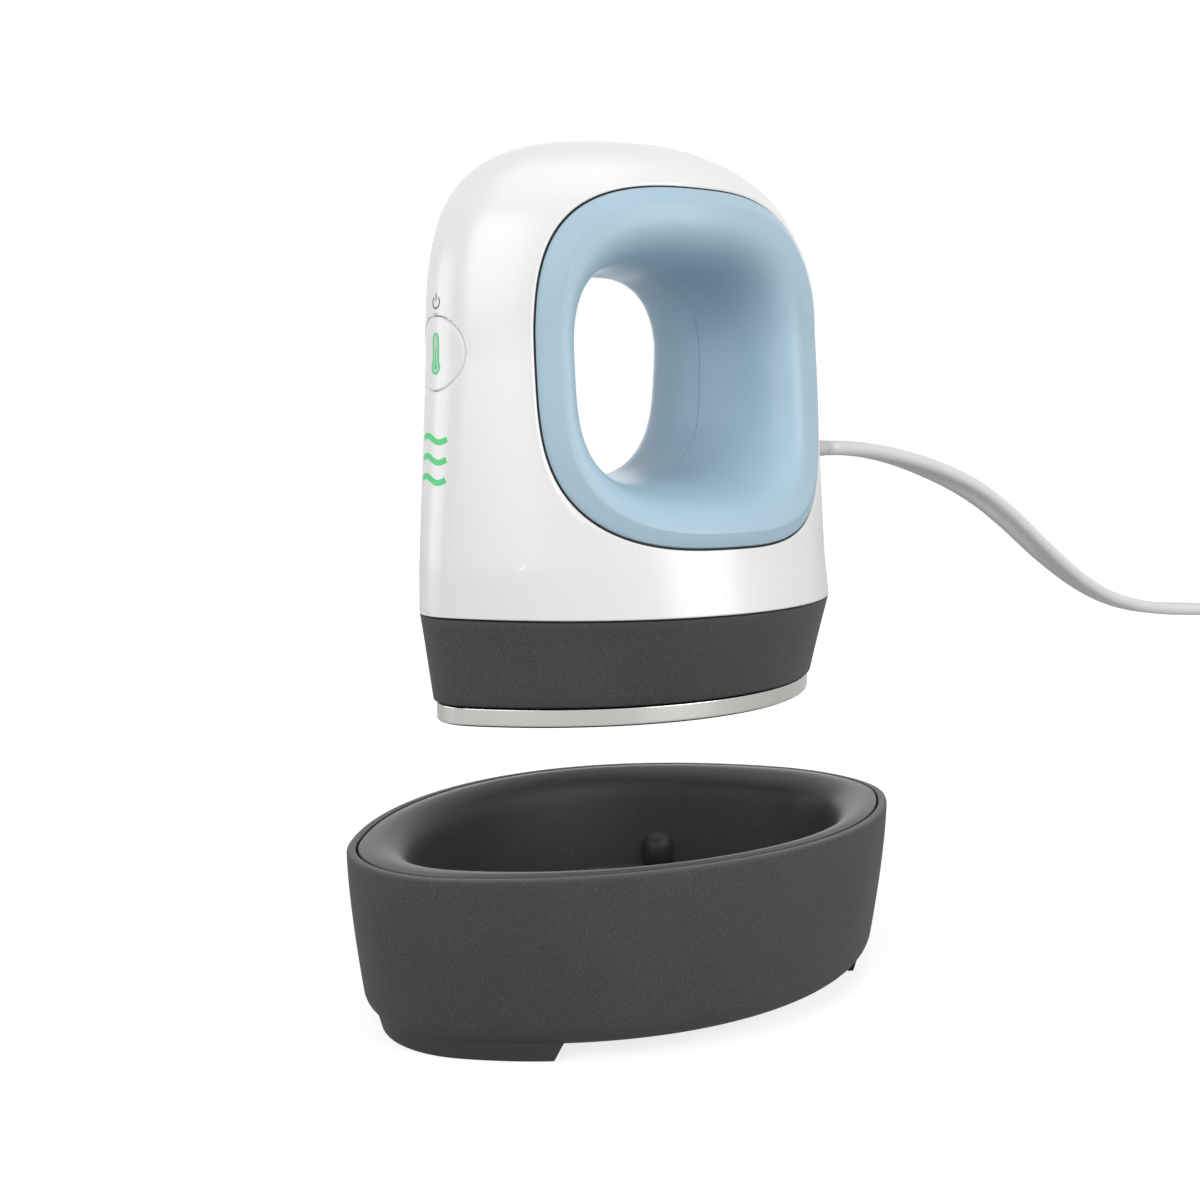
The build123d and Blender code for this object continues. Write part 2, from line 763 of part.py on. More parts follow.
# Silicone mat on the cavity floor, notched round the ribs
floor_shrink = cavity_draft + mat_margin
heat_mat = oval_prism(
    opening_half_length - floor_shrink,
    opening_half_width - floor_shrink,
    opening_end_radius - floor_shrink,
    cavity_floor,
    cavity_floor + mat_thickness,
)
for x, y in four_corners(rib_x, rib_tip_y):
    half = rib_width / 2 + mat_notch
    inner_y, outer_y = y - math.copysign(mat_notch, y), math.copysign(opening_half_width, y)
    heat_mat -= slab(
        x - half, x + half, min(inner_y, outer_y), max(inner_y, outer_y), cavity_floor, cavity_floor + mat_thickness
    )
save("heat_mat", heat_mat)

# Feet: two crescents under the ends, shaped to the base's rounded bottom
foot_shrink = base_taper + foot_inset
foot_top = foot_height + base_corner
foot_ring = oval_prism(
    base_half_length - foot_shrink,
    base_half_width - foot_shrink,
    base_end_radius - foot_shrink,
    0,
    foot_top,
)
foot_ring -= base_outside
slant_reach = foot_slant * foot_top / foot_height
foot_gap = Polyline(
    (-foot_start_x - foot_slant, 0),
    (foot_start_x + foot_slant, 0),
    (foot_start_x + foot_slant - slant_reach, foot_top),
    (-foot_start_x - foot_slant + slant_reach, foot_top),
    close=True,
)
foot_ring -= extrude(Plane.XZ * make_face(foot_gap), 2 * base_half_width, both=True)
for name, side in (("front_foot", -1), ("rear_foot", 1)):
    save(name, foot_ring & slab(min(0, side * 80), max(0, side * 80), -60, 60, -1, base_height))

# Screws from below that hold liner and shell together
base_fixing_screws = [
    post(x, y, base_screw_radius, foot_height, liner_low - 0.6)
    + post(x, y, screw_head_radius + 0.4, foot_height - screw_head_height, foot_height)
    for x, y in base_screws
]
save("base_fixing_screws", Compound(children=base_fixing_screws))

# Cord: one tube along its route, each bend as wide as its two runs allow
route = [Vector(*point) for point in cord_route]
route[0] = Vector(relief_tip_x, 0, hover_height + relief_place)
bends = []
for before, corner, after in zip(route, route[1:], route[2:]):
    arriving, leaving = corner - before, after - corner
    turn = math.radians(arriving.get_angle(leaving))
    bends.append(0.45 * min(arriving.length, leaving.length) / math.tan(turn / 2))
cord_path = FilletPolyline(route, radius=bends)
cord_tube = sweep(Plane(cord_path @ 0, z_dir=cord_path % 0) * Circle(cord_width / 2), cord_path)
save("cord_tube", cord_tube)
section_area = math.pi * cord_width**2 / 4
print("cord bend radii", [round(bend) for bend in bends])
print("cord length", round(cord_path.length), "volume share", cord_tube.volume / (section_area * cord_path.length))

# Coil of the put-away length, with the last turn's start and the tail to the plug
coil_outer = coil_radius + coil_width / 2
turn_radius = coil_outer - cord_width / 2
turn_y = coil_y - turn_radius
coil_low = Pos(coil_x, coil_y, coil_lift)
cord_coil = coil_low * extrude(Circle(coil_outer) - Circle(coil_radius - coil_width / 2), coil_height)
cord_coil = fillet(cord_coil.edges().filter_by(GeomType.CIRCLE), 2.5)
entry = route[-1]
cord_coil += rod(coil_x, entry.X, turn_y, entry.Z, cord_width / 2)
tail_level = plug_height / 2
tail_end = coil_x - coil_tail
cord_coil += rod(tail_end, coil_x, turn_y, tail_level, cord_width / 2)
save("cord_coil", cord_coil)

# Tie strap round the coil's bundle of turns
strap_y = coil_y + coil_radius
strap_inner_width = coil_width + 2 * tie_clearance
strap_outer = Box(tie_width, strap_inner_width + 2 * tie_thickness, coil_height + 2 * tie_thickness)
strap_inner = Box(tie_width, strap_inner_width, coil_height)
save("cord_tie", Pos(coil_x, strap_y, coil_lift + coil_height / 2) * (strap_outer - strap_inner))

# Plug: tapered neck, body and two flat pins
neck_end = tail_end - plug_neck_length
body_end = neck_end - plug_length
neck_small = Plane((tail_end, turn_y, tail_level), z_dir=(-1, 0, 0)) * Circle(cord_width / 2 + 0.6)
neck_large = Plane((neck_end, turn_y, tail_level), z_dir=(-1, 0, 0)) * Circle(plug_height / 2 - 1.2)
plug_shape = Pos((neck_end + body_end) / 2, turn_y, tail_level) * Box(plug_length, plug_width, plug_height)
plug_body = fillet(plug_shape.edges(), 2.0) + loft([neck_small, neck_large])
save("plug_body", plug_body)
plug_pins = []
for side in (-1, 1):
    pin = Pos(body_end - pin_length / 2, turn_y + side * pin_spacing / 2, tail_level) * Box(
        pin_length, pin_thickness, pin_width
    )
    tip = pin.faces().sort_by(Axis.X)[0]
    plug_pins.append(chamfer(tip.edges(), pin_corner))
save("plug_pins", Compound(children=plug_pins))
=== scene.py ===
import math

import bmesh
import bpy
from mathutils import Matrix, Vector


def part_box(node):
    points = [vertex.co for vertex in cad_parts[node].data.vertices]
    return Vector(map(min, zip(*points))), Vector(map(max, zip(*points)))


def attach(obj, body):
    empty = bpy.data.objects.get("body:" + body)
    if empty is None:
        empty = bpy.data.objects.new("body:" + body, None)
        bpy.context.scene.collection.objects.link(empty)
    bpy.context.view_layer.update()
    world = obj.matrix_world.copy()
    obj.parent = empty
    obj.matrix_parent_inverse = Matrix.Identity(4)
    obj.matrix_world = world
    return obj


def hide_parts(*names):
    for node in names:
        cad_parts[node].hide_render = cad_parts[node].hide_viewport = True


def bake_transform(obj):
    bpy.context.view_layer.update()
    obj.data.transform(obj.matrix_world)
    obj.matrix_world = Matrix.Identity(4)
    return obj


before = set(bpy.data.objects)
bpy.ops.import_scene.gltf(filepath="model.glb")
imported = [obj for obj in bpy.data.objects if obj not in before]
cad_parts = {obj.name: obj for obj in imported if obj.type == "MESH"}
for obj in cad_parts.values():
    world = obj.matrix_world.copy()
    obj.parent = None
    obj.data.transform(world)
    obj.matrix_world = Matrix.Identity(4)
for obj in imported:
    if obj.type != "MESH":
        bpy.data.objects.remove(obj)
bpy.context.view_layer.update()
scene = bpy.context.scene


def placed(name, data):
    """New object in the scene."""
    made = bpy.data.objects.new(name, data)
    scene.collection.objects.link(made)
    return made


# Camera: a long lens a little above the table, looking at the front left corner of the press, whose
# front end with the button stands to the left. Its aim is given from the middle of the base's rim.
view_turn = math.radians(-38.0)
view_rise = math.radians(6.515)
view_distance = 0.316765
view_shift_right = 0.00609
view_shift_up = -0.03903
rim_level = 0.0332
right = Vector((math.cos(view_turn), math.sin(view_turn), 0))
back = Vector((right.y, -right.x, 0)) * math.cos(view_rise) + Vector((0, 0, math.sin(view_rise)))
up = back.cross(right)
camera_data = bpy.data.cameras.new("camera")
camera_data.lens = 51.0
camera_data.sensor_width = 36.0
camera = placed("camera", camera_data)
aim = Vector((0, 0, rim_level)) - right * view_shift_right - up * view_shift_up
camera_place = aim + back * view_distance
camera.matrix_world = Matrix.Translation(camera_place) @ Matrix((right, up, back)).transposed().to_4x4()
scene.camera = camera

# Cord: a flat twin lead in pale vinyl, 5.6 mm wide, that leaves the rear of the housing level and comes
# down to the table in one long curve behind the base. What is left of its 1.8 m is wound up and tied there.
MM = 0.001
cord_route = [
    (47.9, 0.0, 99.6),
    (56.5, 0.0, 99.6),
    (69.0, 0.0, 97.8),
    (82.0, 0.0, 94.5),
    (95.5, 0.0, 89.7),
    (107.7, 0.0, 82.9),
    (119.0, 0.0, 75.4),
    (131.3, 0.0, 68.3),
    (143.8, 0.0, 62.9),
    (159.6, 0.0, 59.3),
    (182.4, 0.0, 57.4),
    (207.0, -1.2, 55.8),
    (230.0, -4.5, 51.5),
    (250.0, -11.0, 45.0),
    (265.5, -21.5, 36.8),
    (274.0, -35.5, 28.0),
    (274.5, -51.0, 19.4),
    (267.0, -64.5, 11.8),
    (254.5, -72.6, 6.0),
    (240.5, -74.7, 2.85),
    (229.0, -74.7, 2.6),
]
cord_width = 5.6
cord_thickness = 2.9
coil_x = 205.0
coil_y = -38.0
coil_radii = (36.7, 31.0, 25.3, 25.3, 31.0, 36.7, 36.7)
coil_levels = (2.4, 2.4, 2.4, 5.5, 5.5, 5.5, 8.6)
coil_end = ((-8.0, 8.0), (-17.0, 6.6), (-24.5, 6.3))
points_per_turn = 16
dip_depth = 0.16
# between the housing and the dip the lead is twisted a little, its broad side turned to the left flank
cord_twist = math.radians(32)
twist_middle = 102.0
twist_reach = 42.0
twist_above = 40.0


def piece(name, points, faces, material=None, smooth=True):
    """New object from points in millimetres and faces. Its points hold its place."""
    mesh = bpy.data.meshes.new(name)
    mesh.from_pydata([[value * MM for value in point] for point in points], [], faces)
    mesh.validate()
    if material:
        mesh.materials.append(material)
    if smooth:
        mesh.shade_smooth()
    return placed(name, mesh)


def finished(name, made, material=None):
    """Applies a piece's modifiers: the result is a plain mesh in a new object."""
    evaluated = made.evaluated_get(bpy.context.evaluated_depsgraph_get())
    mesh = bpy.data.meshes.new_from_object(evaluated)
    bpy.data.objects.remove(made)
    mesh.name = name
    if material:
        mesh.materials.clear()
        mesh.materials.append(material)
    return placed(name, mesh)


def between(start, end, share):
    """Number, or row of numbers, that lies a share of the way from one to another."""
    if isinstance(start, (tuple, list)):
        return [between(low, high, share) for low, high in zip(start, end)]
    return start + (end - start) * share


def arc(steps, start=0.0, end=90.0):
    """Cosine and sine at even steps of a turn from one angle to another, in degrees."""
    turns = [math.radians(start + (end - start) * step / steps) for step in range(steps + 1)]
    return [(math.cos(turn), math.sin(turn)) for turn in turns]


class Wire:
    """One value in a node tree. Sums on it add Math nodes, and make() adds any other node."""

    def __init__(self, tree, socket=None):
        self.tree = tree
        self.socket = socket

    def make(self, kind, inputs=None, output=0, **settings):
        """New node of a kind, with its inputs, and one of its outputs as a wire."""
        node = self.tree.nodes.new(kind)
        for key, value in settings.items():
            setattr(node, key, value)
        for key, value in (inputs or {}).items():
            if isinstance(value, Wire):
                self.tree.links.new(value.socket, node.inputs[key])
            else:
                node.inputs[key].default_value = value
        return Wire(self.tree, node.outputs[output] if len(node.outputs) else None)

    def sum_with(self, operation, other):
        return self.make("ShaderNodeMath", {0: self, 1: other}, operation=operation)

    def __add__(self, other):
        return self.sum_with("ADD", other)

    def __sub__(self, other):
        return self.sum_with("SUBTRACT", other)

    def __mul__(self, other):
        return self.sum_with("MULTIPLY", other)

    def ranged(self, low, high, start, end):
        """This value between low and high, stretched to go from start to end."""
        return self.make("ShaderNodeMapRange", {0: self, 1: low, 2: high, 3: start, 4: end})

    def mixed(self, first, second):
        """Colour between two others, this value choosing how far."""
        colours = {0: self, 6: colour_of(first), 7: colour_of(second)}
        return self.make("ShaderNodeMix", colours, output=2, data_type="RGBA")


def colour_of(value):
    """A colour with its fourth number, or a wire as it is."""
    return value if isinstance(value, Wire) else (*value, 1)


def new_material(name):
    """Node material: a wire to start from, one with places on the object, and the material."""
    material = bpy.data.materials.new(name)
    material.use_nodes = True
    material.node_tree.nodes.clear()
    start = Wire(material.node_tree)
    return start, start.make("ShaderNodeTexCoord", output=3), material


def close_material(start, inputs):
    """Adds the shader and its output to a material's tree."""
    shader = start.make("ShaderNodeBsdfPrincipled", inputs)
    start.make("ShaderNodeOutputMaterial", {"Surface": shader})


def noise_at(start, places, scale, detail=2.0):
    """Noise from -1 to 1 or so about zero, on the object's own coordinates."""
    noise = start.make("ShaderNodeTexNoise", {"Vector": places, "Scale": scale, "Detail": detail})
    return (noise - 0.5) * 2.0


def tinted(colour, share):
    """A colour made lighter or darker by a share."""
    return [min(1.0, part * share) for part in colour]


def moulded(
    name, colour, roughness, grain_size, grain_depth, tint=0.03, coat=0.0, speckle=0.0, shine=0.5, painted_top_light=0.0
):
    """Moulded plastic, vinyl or rubber: a fine grain of a given size in millimetres, with faint patches.

    It may have paler specks in its grain, and a painted highlight: where it faces upwards it is painted
    paler, as if lit from above."""
    start, places, material = new_material(name)
    grain = noise_at(start, places, 1 / (grain_size * MM), 3.0)
    patches = noise_at(start, places, 60.0)
    shade = (patches * 0.5 + grain * speckle + 0.5).mixed(tinted(colour, 1 - tint), tinted(colour, 1 + tint))
    if speckle:
        shade = grain.ranged(0.1, 0.45, 0.0, speckle).mixed(shade, tinted(colour, 2.2))
    # painted highlight: faces that look upwards are painted paler, standing in for light from above
    if painted_top_light:
        facing = start.make("ShaderNodeTexCoord", output=1)
        facing = start.make("ShaderNodeSeparateXYZ", {0: facing}, output=2)
        shade = facing.ranged(0.55, 1.0, 0.0, 1.0).mixed(shade, [part + painted_top_light for part in colour])
    relief = {"Strength": 1.0, "Distance": grain_depth * MM, "Height": grain * 0.5 + 0.5}
    bump = start.make("ShaderNodeBump", relief)
    look = {"Base Color": shade, "Roughness": patches * 0.03 + roughness, "Normal": bump}
    gloss = {"Specular IOR Level": shine, "Coat Weight": coat, "Coat Roughness": 0.2}
    close_material(start, {**look, **gloss})
    return material


route_curve = bpy.data.curves.new("cord_line", "CURVE")
route_curve.dimensions = "3D"
route_curve.resolution_u = 6
cord_points = [Vector(point) for point in cord_route]
for wind in range(len(coil_radii)):
    before = max(wind - 1, 0)
    for step in range(points_per_turn):
        # the lead steps to the next column or layer over the first fifth of each turn
        share = min(1.0, step / (0.2 * points_per_turn))
        turn = math.radians(-90) - 2 * math.pi * (step + 0.5) / points_per_turn
        radius = between(coil_radii[before], coil_radii[wind], share)
        level = between(coil_levels[before], coil_levels[wind], share)
        x, y = coil_x + radius * math.cos(turn), coil_y + radius * math.sin(turn)
        cord_points.append(Vector((x, y, level)))
for along, level in coil_end:
    cord_points.append(Vector((coil_x + along, coil_y - coil_radii[-1], level)))
cord_line = route_curve.splines.new("NURBS")
cord_line.points.add(len(cord_points) - 1)
for place, point in zip(cord_line.points, cord_points):
    place.co = (*(point * MM), 1)
cord_line.order_u = 3
cord_line.use_endpoint_u = True
line_object = finished("cord_line", placed("cord_line", route_curve))
cord_path = [vertex.co / MM for vertex in line_object.data.vertices]
bpy.data.objects.remove(line_object)


def flat_twin_section():
    """Section of the lead: two round cores side by side under one skin, with a shallow dip between."""
    core = cord_thickness / 2
    centre = cord_width / 2 - core
    outline = []
    for side in (1, -1):
        for c, s in arc(8, -80.0, 80.0):
            outline.append((side * (centre + core * c), side * core * s))
        for step in (1, 0, -1):
            dip = dip_depth * (1 + math.cos(math.pi * step / 2))
            outline.append((side * step * centre * 0.6, side * (core - dip)))
    return outline


def face_out(made, apart=0.002, sliver=0.0):
    """Turns a piece's faces outwards, after merging points that lie close together."""
    work = bmesh.new()
    work.from_mesh(made.data)
    bmesh.ops.remove_doubles(work, verts=work.verts, dist=apart * MM)
    if sliver:
        bmesh.ops.dissolve_degenerate(work, edges=work.edges, dist=sliver * MM)
    bmesh.ops.recalc_face_normals(work, faces=work.faces)
    work.to_mesh(made.data)
    work.free()
    return made


def ring_faces(rows, count):
    """Four-cornered faces that join rows of points, each row a closed ring, to the row after them."""
    faces = []
    for row in range(rows):
        here, there = row * count, (row + 1) * count
        for i in range(count):
            after = (i + 1) % count
            faces.append((here + i, here + after, there + after, there + i))
    return faces


def stacked(name, rings, material=None, smooth=True, hoop=False):
    """Closed skin through a stack of rings of points: flat at both ends, or a hoop that closes on itself."""
    points = [point for ring in rings for point in ring]
    count = len(rings[0])
    faces = ring_faces(len(rings) - 1, count)
    last = len(points) - count
    if hoop:
        faces += [(last + i, last + (i + 1) % count, (i + 1) % count, i) for i in range(count)]
    else:
        faces.append(tuple(range(count - 1, -1, -1)))
        faces.append(tuple(last + i for i in range(count)))
    return face_out(piece(name, points, faces, material, smooth))


section = flat_twin_section()
cord_rings = []
for place, point in enumerate(cord_path):
    ahead = cord_path[min(place + 1, len(cord_path) - 1)]
    behind = cord_path[max(place - 1, 0)]
    along = (ahead - behind).normalized()
    across = along.cross(Vector((0, 0, 1))).normalized()
    upward = across.cross(along)
    from_middle = min(1.0, abs(point.x - twist_middle) / twist_reach) if point.z > twist_above else 1.0
    lean = cord_twist * (1 - from_middle**2) ** 2
    wide_axis = across * math.cos(lean) + upward * math.sin(lean)
    high_axis = upward * math.cos(lean) - across * math.sin(lean)
    cord_rings.append([point + wide_axis * wide + high_axis * high for wide, high in section])
cord_vinyl = moulded("cord_vinyl", (0.75, 0.75, 0.755), 0.34, 1.6, 0.004, coat=0.25)
cord = stacked("cord", cord_rings, cord_vinyl)
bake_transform(cord)
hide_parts("cord_tube", "cord_coil")

# Base outer shell: a deep almond dish in dark spark-textured plastic, its walls drawn in a little
# towards a rounded bottom edge. Its rim is arched, lower at the two ends, with a soft outer edge. Almond
# sizes are half length, half width and end radius.
base_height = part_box("base_shell")[1].z / MM
base_floor = 2.9
base_sizes = (57.1, 39.4, 24.0)
base_taper = 3.3
base_corner = 4.0
base_wall = 1.6
rim_dip = 1.4
rim_round = 0.5
rim_break = 0.25


def side_arc(half_length, half_width, end_radius):
    """Radius of the two broad arcs of an almond."""
    reach = (half_length - end_radius) ** 2 + half_width**2 - end_radius**2
    return reach / (2 * (half_width - end_radius))


def oval_ring(half_length, half_width, end_radius, end_steps=16, side_steps=90):
    """Almond outline from the rear tip round by +Y: points (x, y), as two broad arcs and two small ones."""
    side_radius = side_arc(half_length, half_width, end_radius)
    join = math.atan2(side_radius - half_width, half_length - end_radius)
    ring = []
    for quarter in range(4):
        centre_x = (half_length - end_radius) * (1, 0, -1, 0)[quarter]
        centre_y = (half_width - side_radius) * (0, 1, 0, -1)[quarter]
        radius = (end_radius, side_radius)[quarter % 2]
        steps = (end_steps, side_steps)[quarter % 2]
        start = (-join, join, math.pi - join, math.pi + join)[quarter]
        sweep = (2 * join, math.pi - 2 * join)[quarter % 2]
        for step in range(steps):
            turn = start + sweep * step / steps
            ring.append((centre_x + radius * math.cos(turn), centre_y + radius * math.sin(turn)))
    return ring


def level_ring(height, sizes, inset=0.0):
    """Almond ring of given sizes at a height, moved inwards by an inset."""
    return [(x, y, height) for x, y in oval_ring(*[size - inset for size in sizes])]


def base_shrink(height):
    """How far the base's wall has drawn in at a height."""
    drop = max(0.0, base_height - height) / (base_height - base_floor)
    return base_taper * drop**1.6


def rim_sag(x):
    """How far the arched rim lies below its middle at a distance from it."""
    return rim_dip * (x / base_sizes[0]) ** 2


def base_ring(height, inset, arched):
    """Ring of the base at a height and inset, following the rim's arch where it is near it."""
    ring = level_ring(height, base_sizes, base_shrink(height) + inset)
    return [(x, y, level - arched * rim_sag(x)) for x, y, level in ring]


shell_rings = []
for c, s in arc(12):
    shell_rings.append(base_ring(base_floor + base_corner * (1 - c), base_corner * (1 - s), 0))
wall_low = base_floor + base_corner
wall_top = base_height - rim_round
for step in range(1, 21):
    shell_rings.append(base_ring(between(wall_low, wall_top, step / 20), 0, (step / 20) ** 2))
for c, s in arc(6)[1:]:
    shell_rings.append(base_ring(wall_top + rim_round * s, rim_round * (1 - c), 1))
for sink, edge in ((0, rim_break), (0.08, 0.07), (rim_break, 0)):
    shell_rings.append(base_ring(base_height - sink, base_wall - edge, 1))
inner_low = base_floor + base_wall
for step in range(9, -1, -1):
    height = between(inner_low, base_height - rim_break, step / 10)
    corner = base_corner - math.sqrt(base_corner**2 - max(0.0, wall_low - height) ** 2)
    shell_rings.append(base_ring(height, base_wall + corner, (step / 10) ** 2))
# painted highlight: the shell's upward faces are painted a little paler, as if lit from above
base_plastic = moulded(
    "base_plastic", (0.052, 0.052, 0.0523), 0.6, 0.27, 0.07, tint=0.2, speckle=0.6, shine=0.3, painted_top_light=0.05
)
base_shell = stacked("base_shell_skin", shell_rings, base_plastic)
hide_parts("base_shell")
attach(base_shell, "base")

# Base liner: an inner dish of the same plastic, smoother, set a hair inside the shell. Its lip rolls
# over into a drafted cavity wall and a flat floor that the mat lies on.
groove_width = 0.35
lip_depth = 6.0
lip_edge = 0.7
lip_power = 1.9
lip_swell = 0.35
opening_sizes = (45.8, 31.8, 15.0)
opening_level = base_height - lip_depth
cavity_draft = 2.0
cavity_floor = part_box("heat_mat")[0].z / MM
liner_wall = 2.0
liner_skirt = 4.0
liner_edge = base_wall + groove_width
lip_sizes = [size - liner_edge - lip_edge for size in base_sizes]


def cavity_ring(height, outset=0.0):
    """Ring of the drafted cavity wall at a height, or of the liner's outer side."""
    drawn = cavity_draft * (opening_level - height) / (opening_level - cavity_floor)
    return level_ring(height, opening_sizes, drawn - outset)


liner_rings = []
for step in range(11):
    liner_rings.append(cavity_ring(between(cavity_floor, opening_level, step / 10)))
for _, share in arc(32)[1:]:
    # the lip rolls up out of the cavity and swells a little above the rim before it meets the groove
    away = 1 - share
    sizes = between(opening_sizes, lip_sizes, share)
    rise = (1 - away**lip_power) ** (1 / lip_power)
    level = opening_level + lip_depth * rise + lip_swell * 4 * away * (1 - away)
    liner_rings.append([(x, y, level - rise**1.5 * rim_sag(x)) for x, y in oval_ring(*sizes)])
for sink, edge, arched in ((0, 0.22, 1), (0.07, 0.06, 1), (rim_break, 0, 1), (liner_skirt, 0, 0.8)):
    liner_rings.append(base_ring(base_height - sink, liner_edge + edge, arched))
outside_low = cavity_floor - liner_wall
outside_high = opening_level - 1.0
for step in range(9, -1, -1):
    liner_rings.append(cavity_ring(between(outside_low, outside_high, step / 9), liner_wall))
# painted highlight: the liner's upward faces are painted a little paler, as if lit from above
liner_plastic = moulded(
    "liner_plastic", (0.042, 0.042, 0.0422), 0.5, 0.5, 0.02, tint=0.15, speckle=0.3, shine=0.3, painted_top_light=0.05
)
base_liner = stacked("base_liner_skin", liner_rings, liner_plastic)
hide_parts("base_liner")
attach(base_liner, "base")

# Centring ribs: four domed knobs moulded on the cavity wall, that guide the hot end into the middle.
# One knob is modelled and a small node tree stands a copy at each corner, turned to face inwards.
rib_x = 26.0
rib_half_width = 3.3
rib_height = 7.8
rib_middle_y = 23.9
rib_root_y = 29.0
rib_sunk = 0.5


def rib_ring(level, shrink):
    """Ring of a knob: round at its tip, straight back into the wall."""
    radius = rib_half_width - shrink
    tip = [(radius * c, rib_middle_y + radius * s, level) for c, s in arc(24, 0.0, -180.0)]
    return [(radius, rib_root_y, level), *tip, (-radius, rib_root_y, level)]


rib_rings = [rib_ring(cavity_floor - rib_sunk, 0)]
dome_low = cavity_floor + rib_height - rib_half_width
for c, s in arc(9, end=88.0):
    rib_rings.append(rib_ring(dome_low + rib_half_width * s, rib_half_width * (1 - c)))
one_rib = stacked("one_rib", rib_rings)
one_rib.data.transform(Matrix.Translation((0, -rib_middle_y * MM, 0)))


def repeat_at_corners(name, sample, spacing_x, spacing_y, material):
    """Stands a copy of a sample at the four corners of a rectangle, each turned to face its middle."""
    tree = bpy.data.node_groups.new(name, "GeometryNodeTree")
    given = {
        "Sample": ("NodeSocketObject", sample),
        "Spacing X": ("NodeSocketFloat", spacing_x * MM),
        "Spacing Y": ("NodeSocketFloat", spacing_y * MM),
        "Material": ("NodeSocketMaterial", material),
    }
    for label, (kind, _) in given.items():
        tree.interface.new_socket(label, in_out="INPUT", socket_type=kind)
    tree.interface.new_socket("Copies", in_out="OUTPUT", socket_type="NodeSocketGeometry")
    start = Wire(tree)
    asked = {label: start.make("NodeGroupInput", output=label) for label in given}
    shape = start.make("GeometryNodeObjectInfo", {"Object": asked["Sample"]}, output="Geometry")
    sizes = {"Size X": asked["Spacing X"], "Size Y": asked["Spacing Y"], "Vertices X": 2, "Vertices Y": 2}
    corners = start.make("GeometryNodeMeshGrid", sizes)
    across = start.make("ShaderNodeSeparateXYZ", {0: start.make("GeometryNodeInputPosition")}, output="Y")
    turned = start.make("ShaderNodeCombineXYZ", {"Z": across.sum_with("LESS_THAN", 0.0) * math.pi})
    stood = {"Points": corners, "Instance": shape, "Rotation": turned}
    copies = start.make("GeometryNodeInstanceOnPoints", stood)
    copies = start.make("GeometryNodeRealizeInstances", {0: copies})
    painted = start.make("GeometryNodeSetMaterial", {"Geometry": copies, "Material": asked["Material"]})
    start.make("NodeGroupOutput", {0: painted})
    holder = piece(name, [(0, 0, 0)], [])
    modifier = holder.modifiers.new("copies", "NODES")
    modifier.node_group = tree
    for item in tree.interface.items_tree:
        if item.in_out == "INPUT":
            modifier[item.identifier] = given[item.name][1]
    made = finished(name, holder)
    bpy.data.objects.remove(sample)
    return made


ribs = repeat_at_corners("centring_ribs", one_rib, 2 * rib_x, 2 * rib_middle_y, liner_plastic)
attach(ribs, "base")

# Mat and feet: a matte silicone mat lies loose on the cavity floor, and two crescent feet of hard rubber
# stand under the ends of the base, cut back a little so that the dish seems to float.
mat_rubber = moulded("mat_silicone", (0.026, 0.026, 0.0262), 0.7, 0.35, 0.02, tint=0.2)
foot_inset = 1.6
foot_rows = ((0.0, 2.3), (0.12, 2.05), (0.4, 1.9), (3.0, foot_inset), (4.5, foot_inset))
foot_ends = (("front_foot", -34.2), ("rear_foot", 36.0))
foot_cut_back = 0.75
foot_cut_lean = 0.2
foot_corner = 0.4
foot_hollow = (0.62, 0.8)
foot_centre_x = 20.0
foot_steps = 81
foot_rubber = moulded(
    "foot_rubber", (0.047, 0.047, 0.0473), 0.6, 0.27, 0.05, tint=0.2, speckle=0.4, shine=0.3
)


def finish_node(material, *names):
    """Gives CAD pieces a finish."""
    for name in names:
        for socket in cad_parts[name].material_slots:
            socket.material = material


def even_steps(line, steps):
    """Places at even distances along a line of places (x, y)."""
    ways = [0.0]
    for here, there in zip(line, line[1:]):
        ways.append(ways[-1] + math.dist(here, there))
    places = []
    for step in range(steps):
        wanted = ways[-1] * step / (steps - 1)
        place = max(i for i, way in enumerate(ways[:-1]) if way <= wanted + 1e-9)
        share = (wanted - ways[place]) / (ways[place + 1] - ways[place])
        places.append(between(line[place], line[place + 1], share))
    return places


finish_node(mat_rubber, "heat_mat")
for name, end in foot_ends:
    side = 1 if end > 0 else -1
    foot_rings = []
    for level, inset in foot_rows:
        # the cut ends lean back a little towards the table
        cut = end + side * (foot_cut_back - foot_cut_lean * level)
        line = [(x, y) for x, y, _ in base_ring(level, inset, 0) if side * x > side * cut]
        line.sort(key=lambda place: math.atan2(place[1], side * place[0] - foot_centre_x))
        line = [(cut, line[0][1] - foot_corner)] + line + [(cut, line[-1][1] + foot_corner)]
        outer = even_steps(line, foot_steps)
        inner = [(cut + (x - cut) * foot_hollow[0], y * foot_hollow[1]) for x, y in reversed(outer)]
        foot_rings.append([(x, y, level) for x, y in outer + inner])
    foot = stacked(name + "_skin", foot_rings, foot_rubber, smooth=False)
    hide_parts(name)
    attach(foot, "base")

# Heat plate: an almond of ground aluminium with a polished edge, softly rounded towards its lower face,
# the only hot one. It hangs just below the shroud, a thin dark gap between them.
plate_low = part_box("heat_plate")[0].z / MM
plate_sizes = (41.3, 24.4, 8.0)
plate_thickness = 3.1
plate_round = 0.5


def plate_ring(height, inset):
    """Ring of the plate at a height above its pressing face."""
    return level_ring(plate_low + height, plate_sizes, inset)


plate_rings = [plate_ring(0, 0.8)]
for c, s in arc(6):
    plate_rings.append(plate_ring(plate_round * (1 - c), plate_round * (1 - s)))
for height, inset in ((0.6, 0), (1.2, 0), (2.4, 0), (2.95, 0), (3.03, 0), (3.08, 0.02)):
    plate_rings.append(plate_ring(height, inset))
for inset in (0.06, 0.1, 3.0):
    plate_rings.append(plate_ring(plate_thickness, inset))


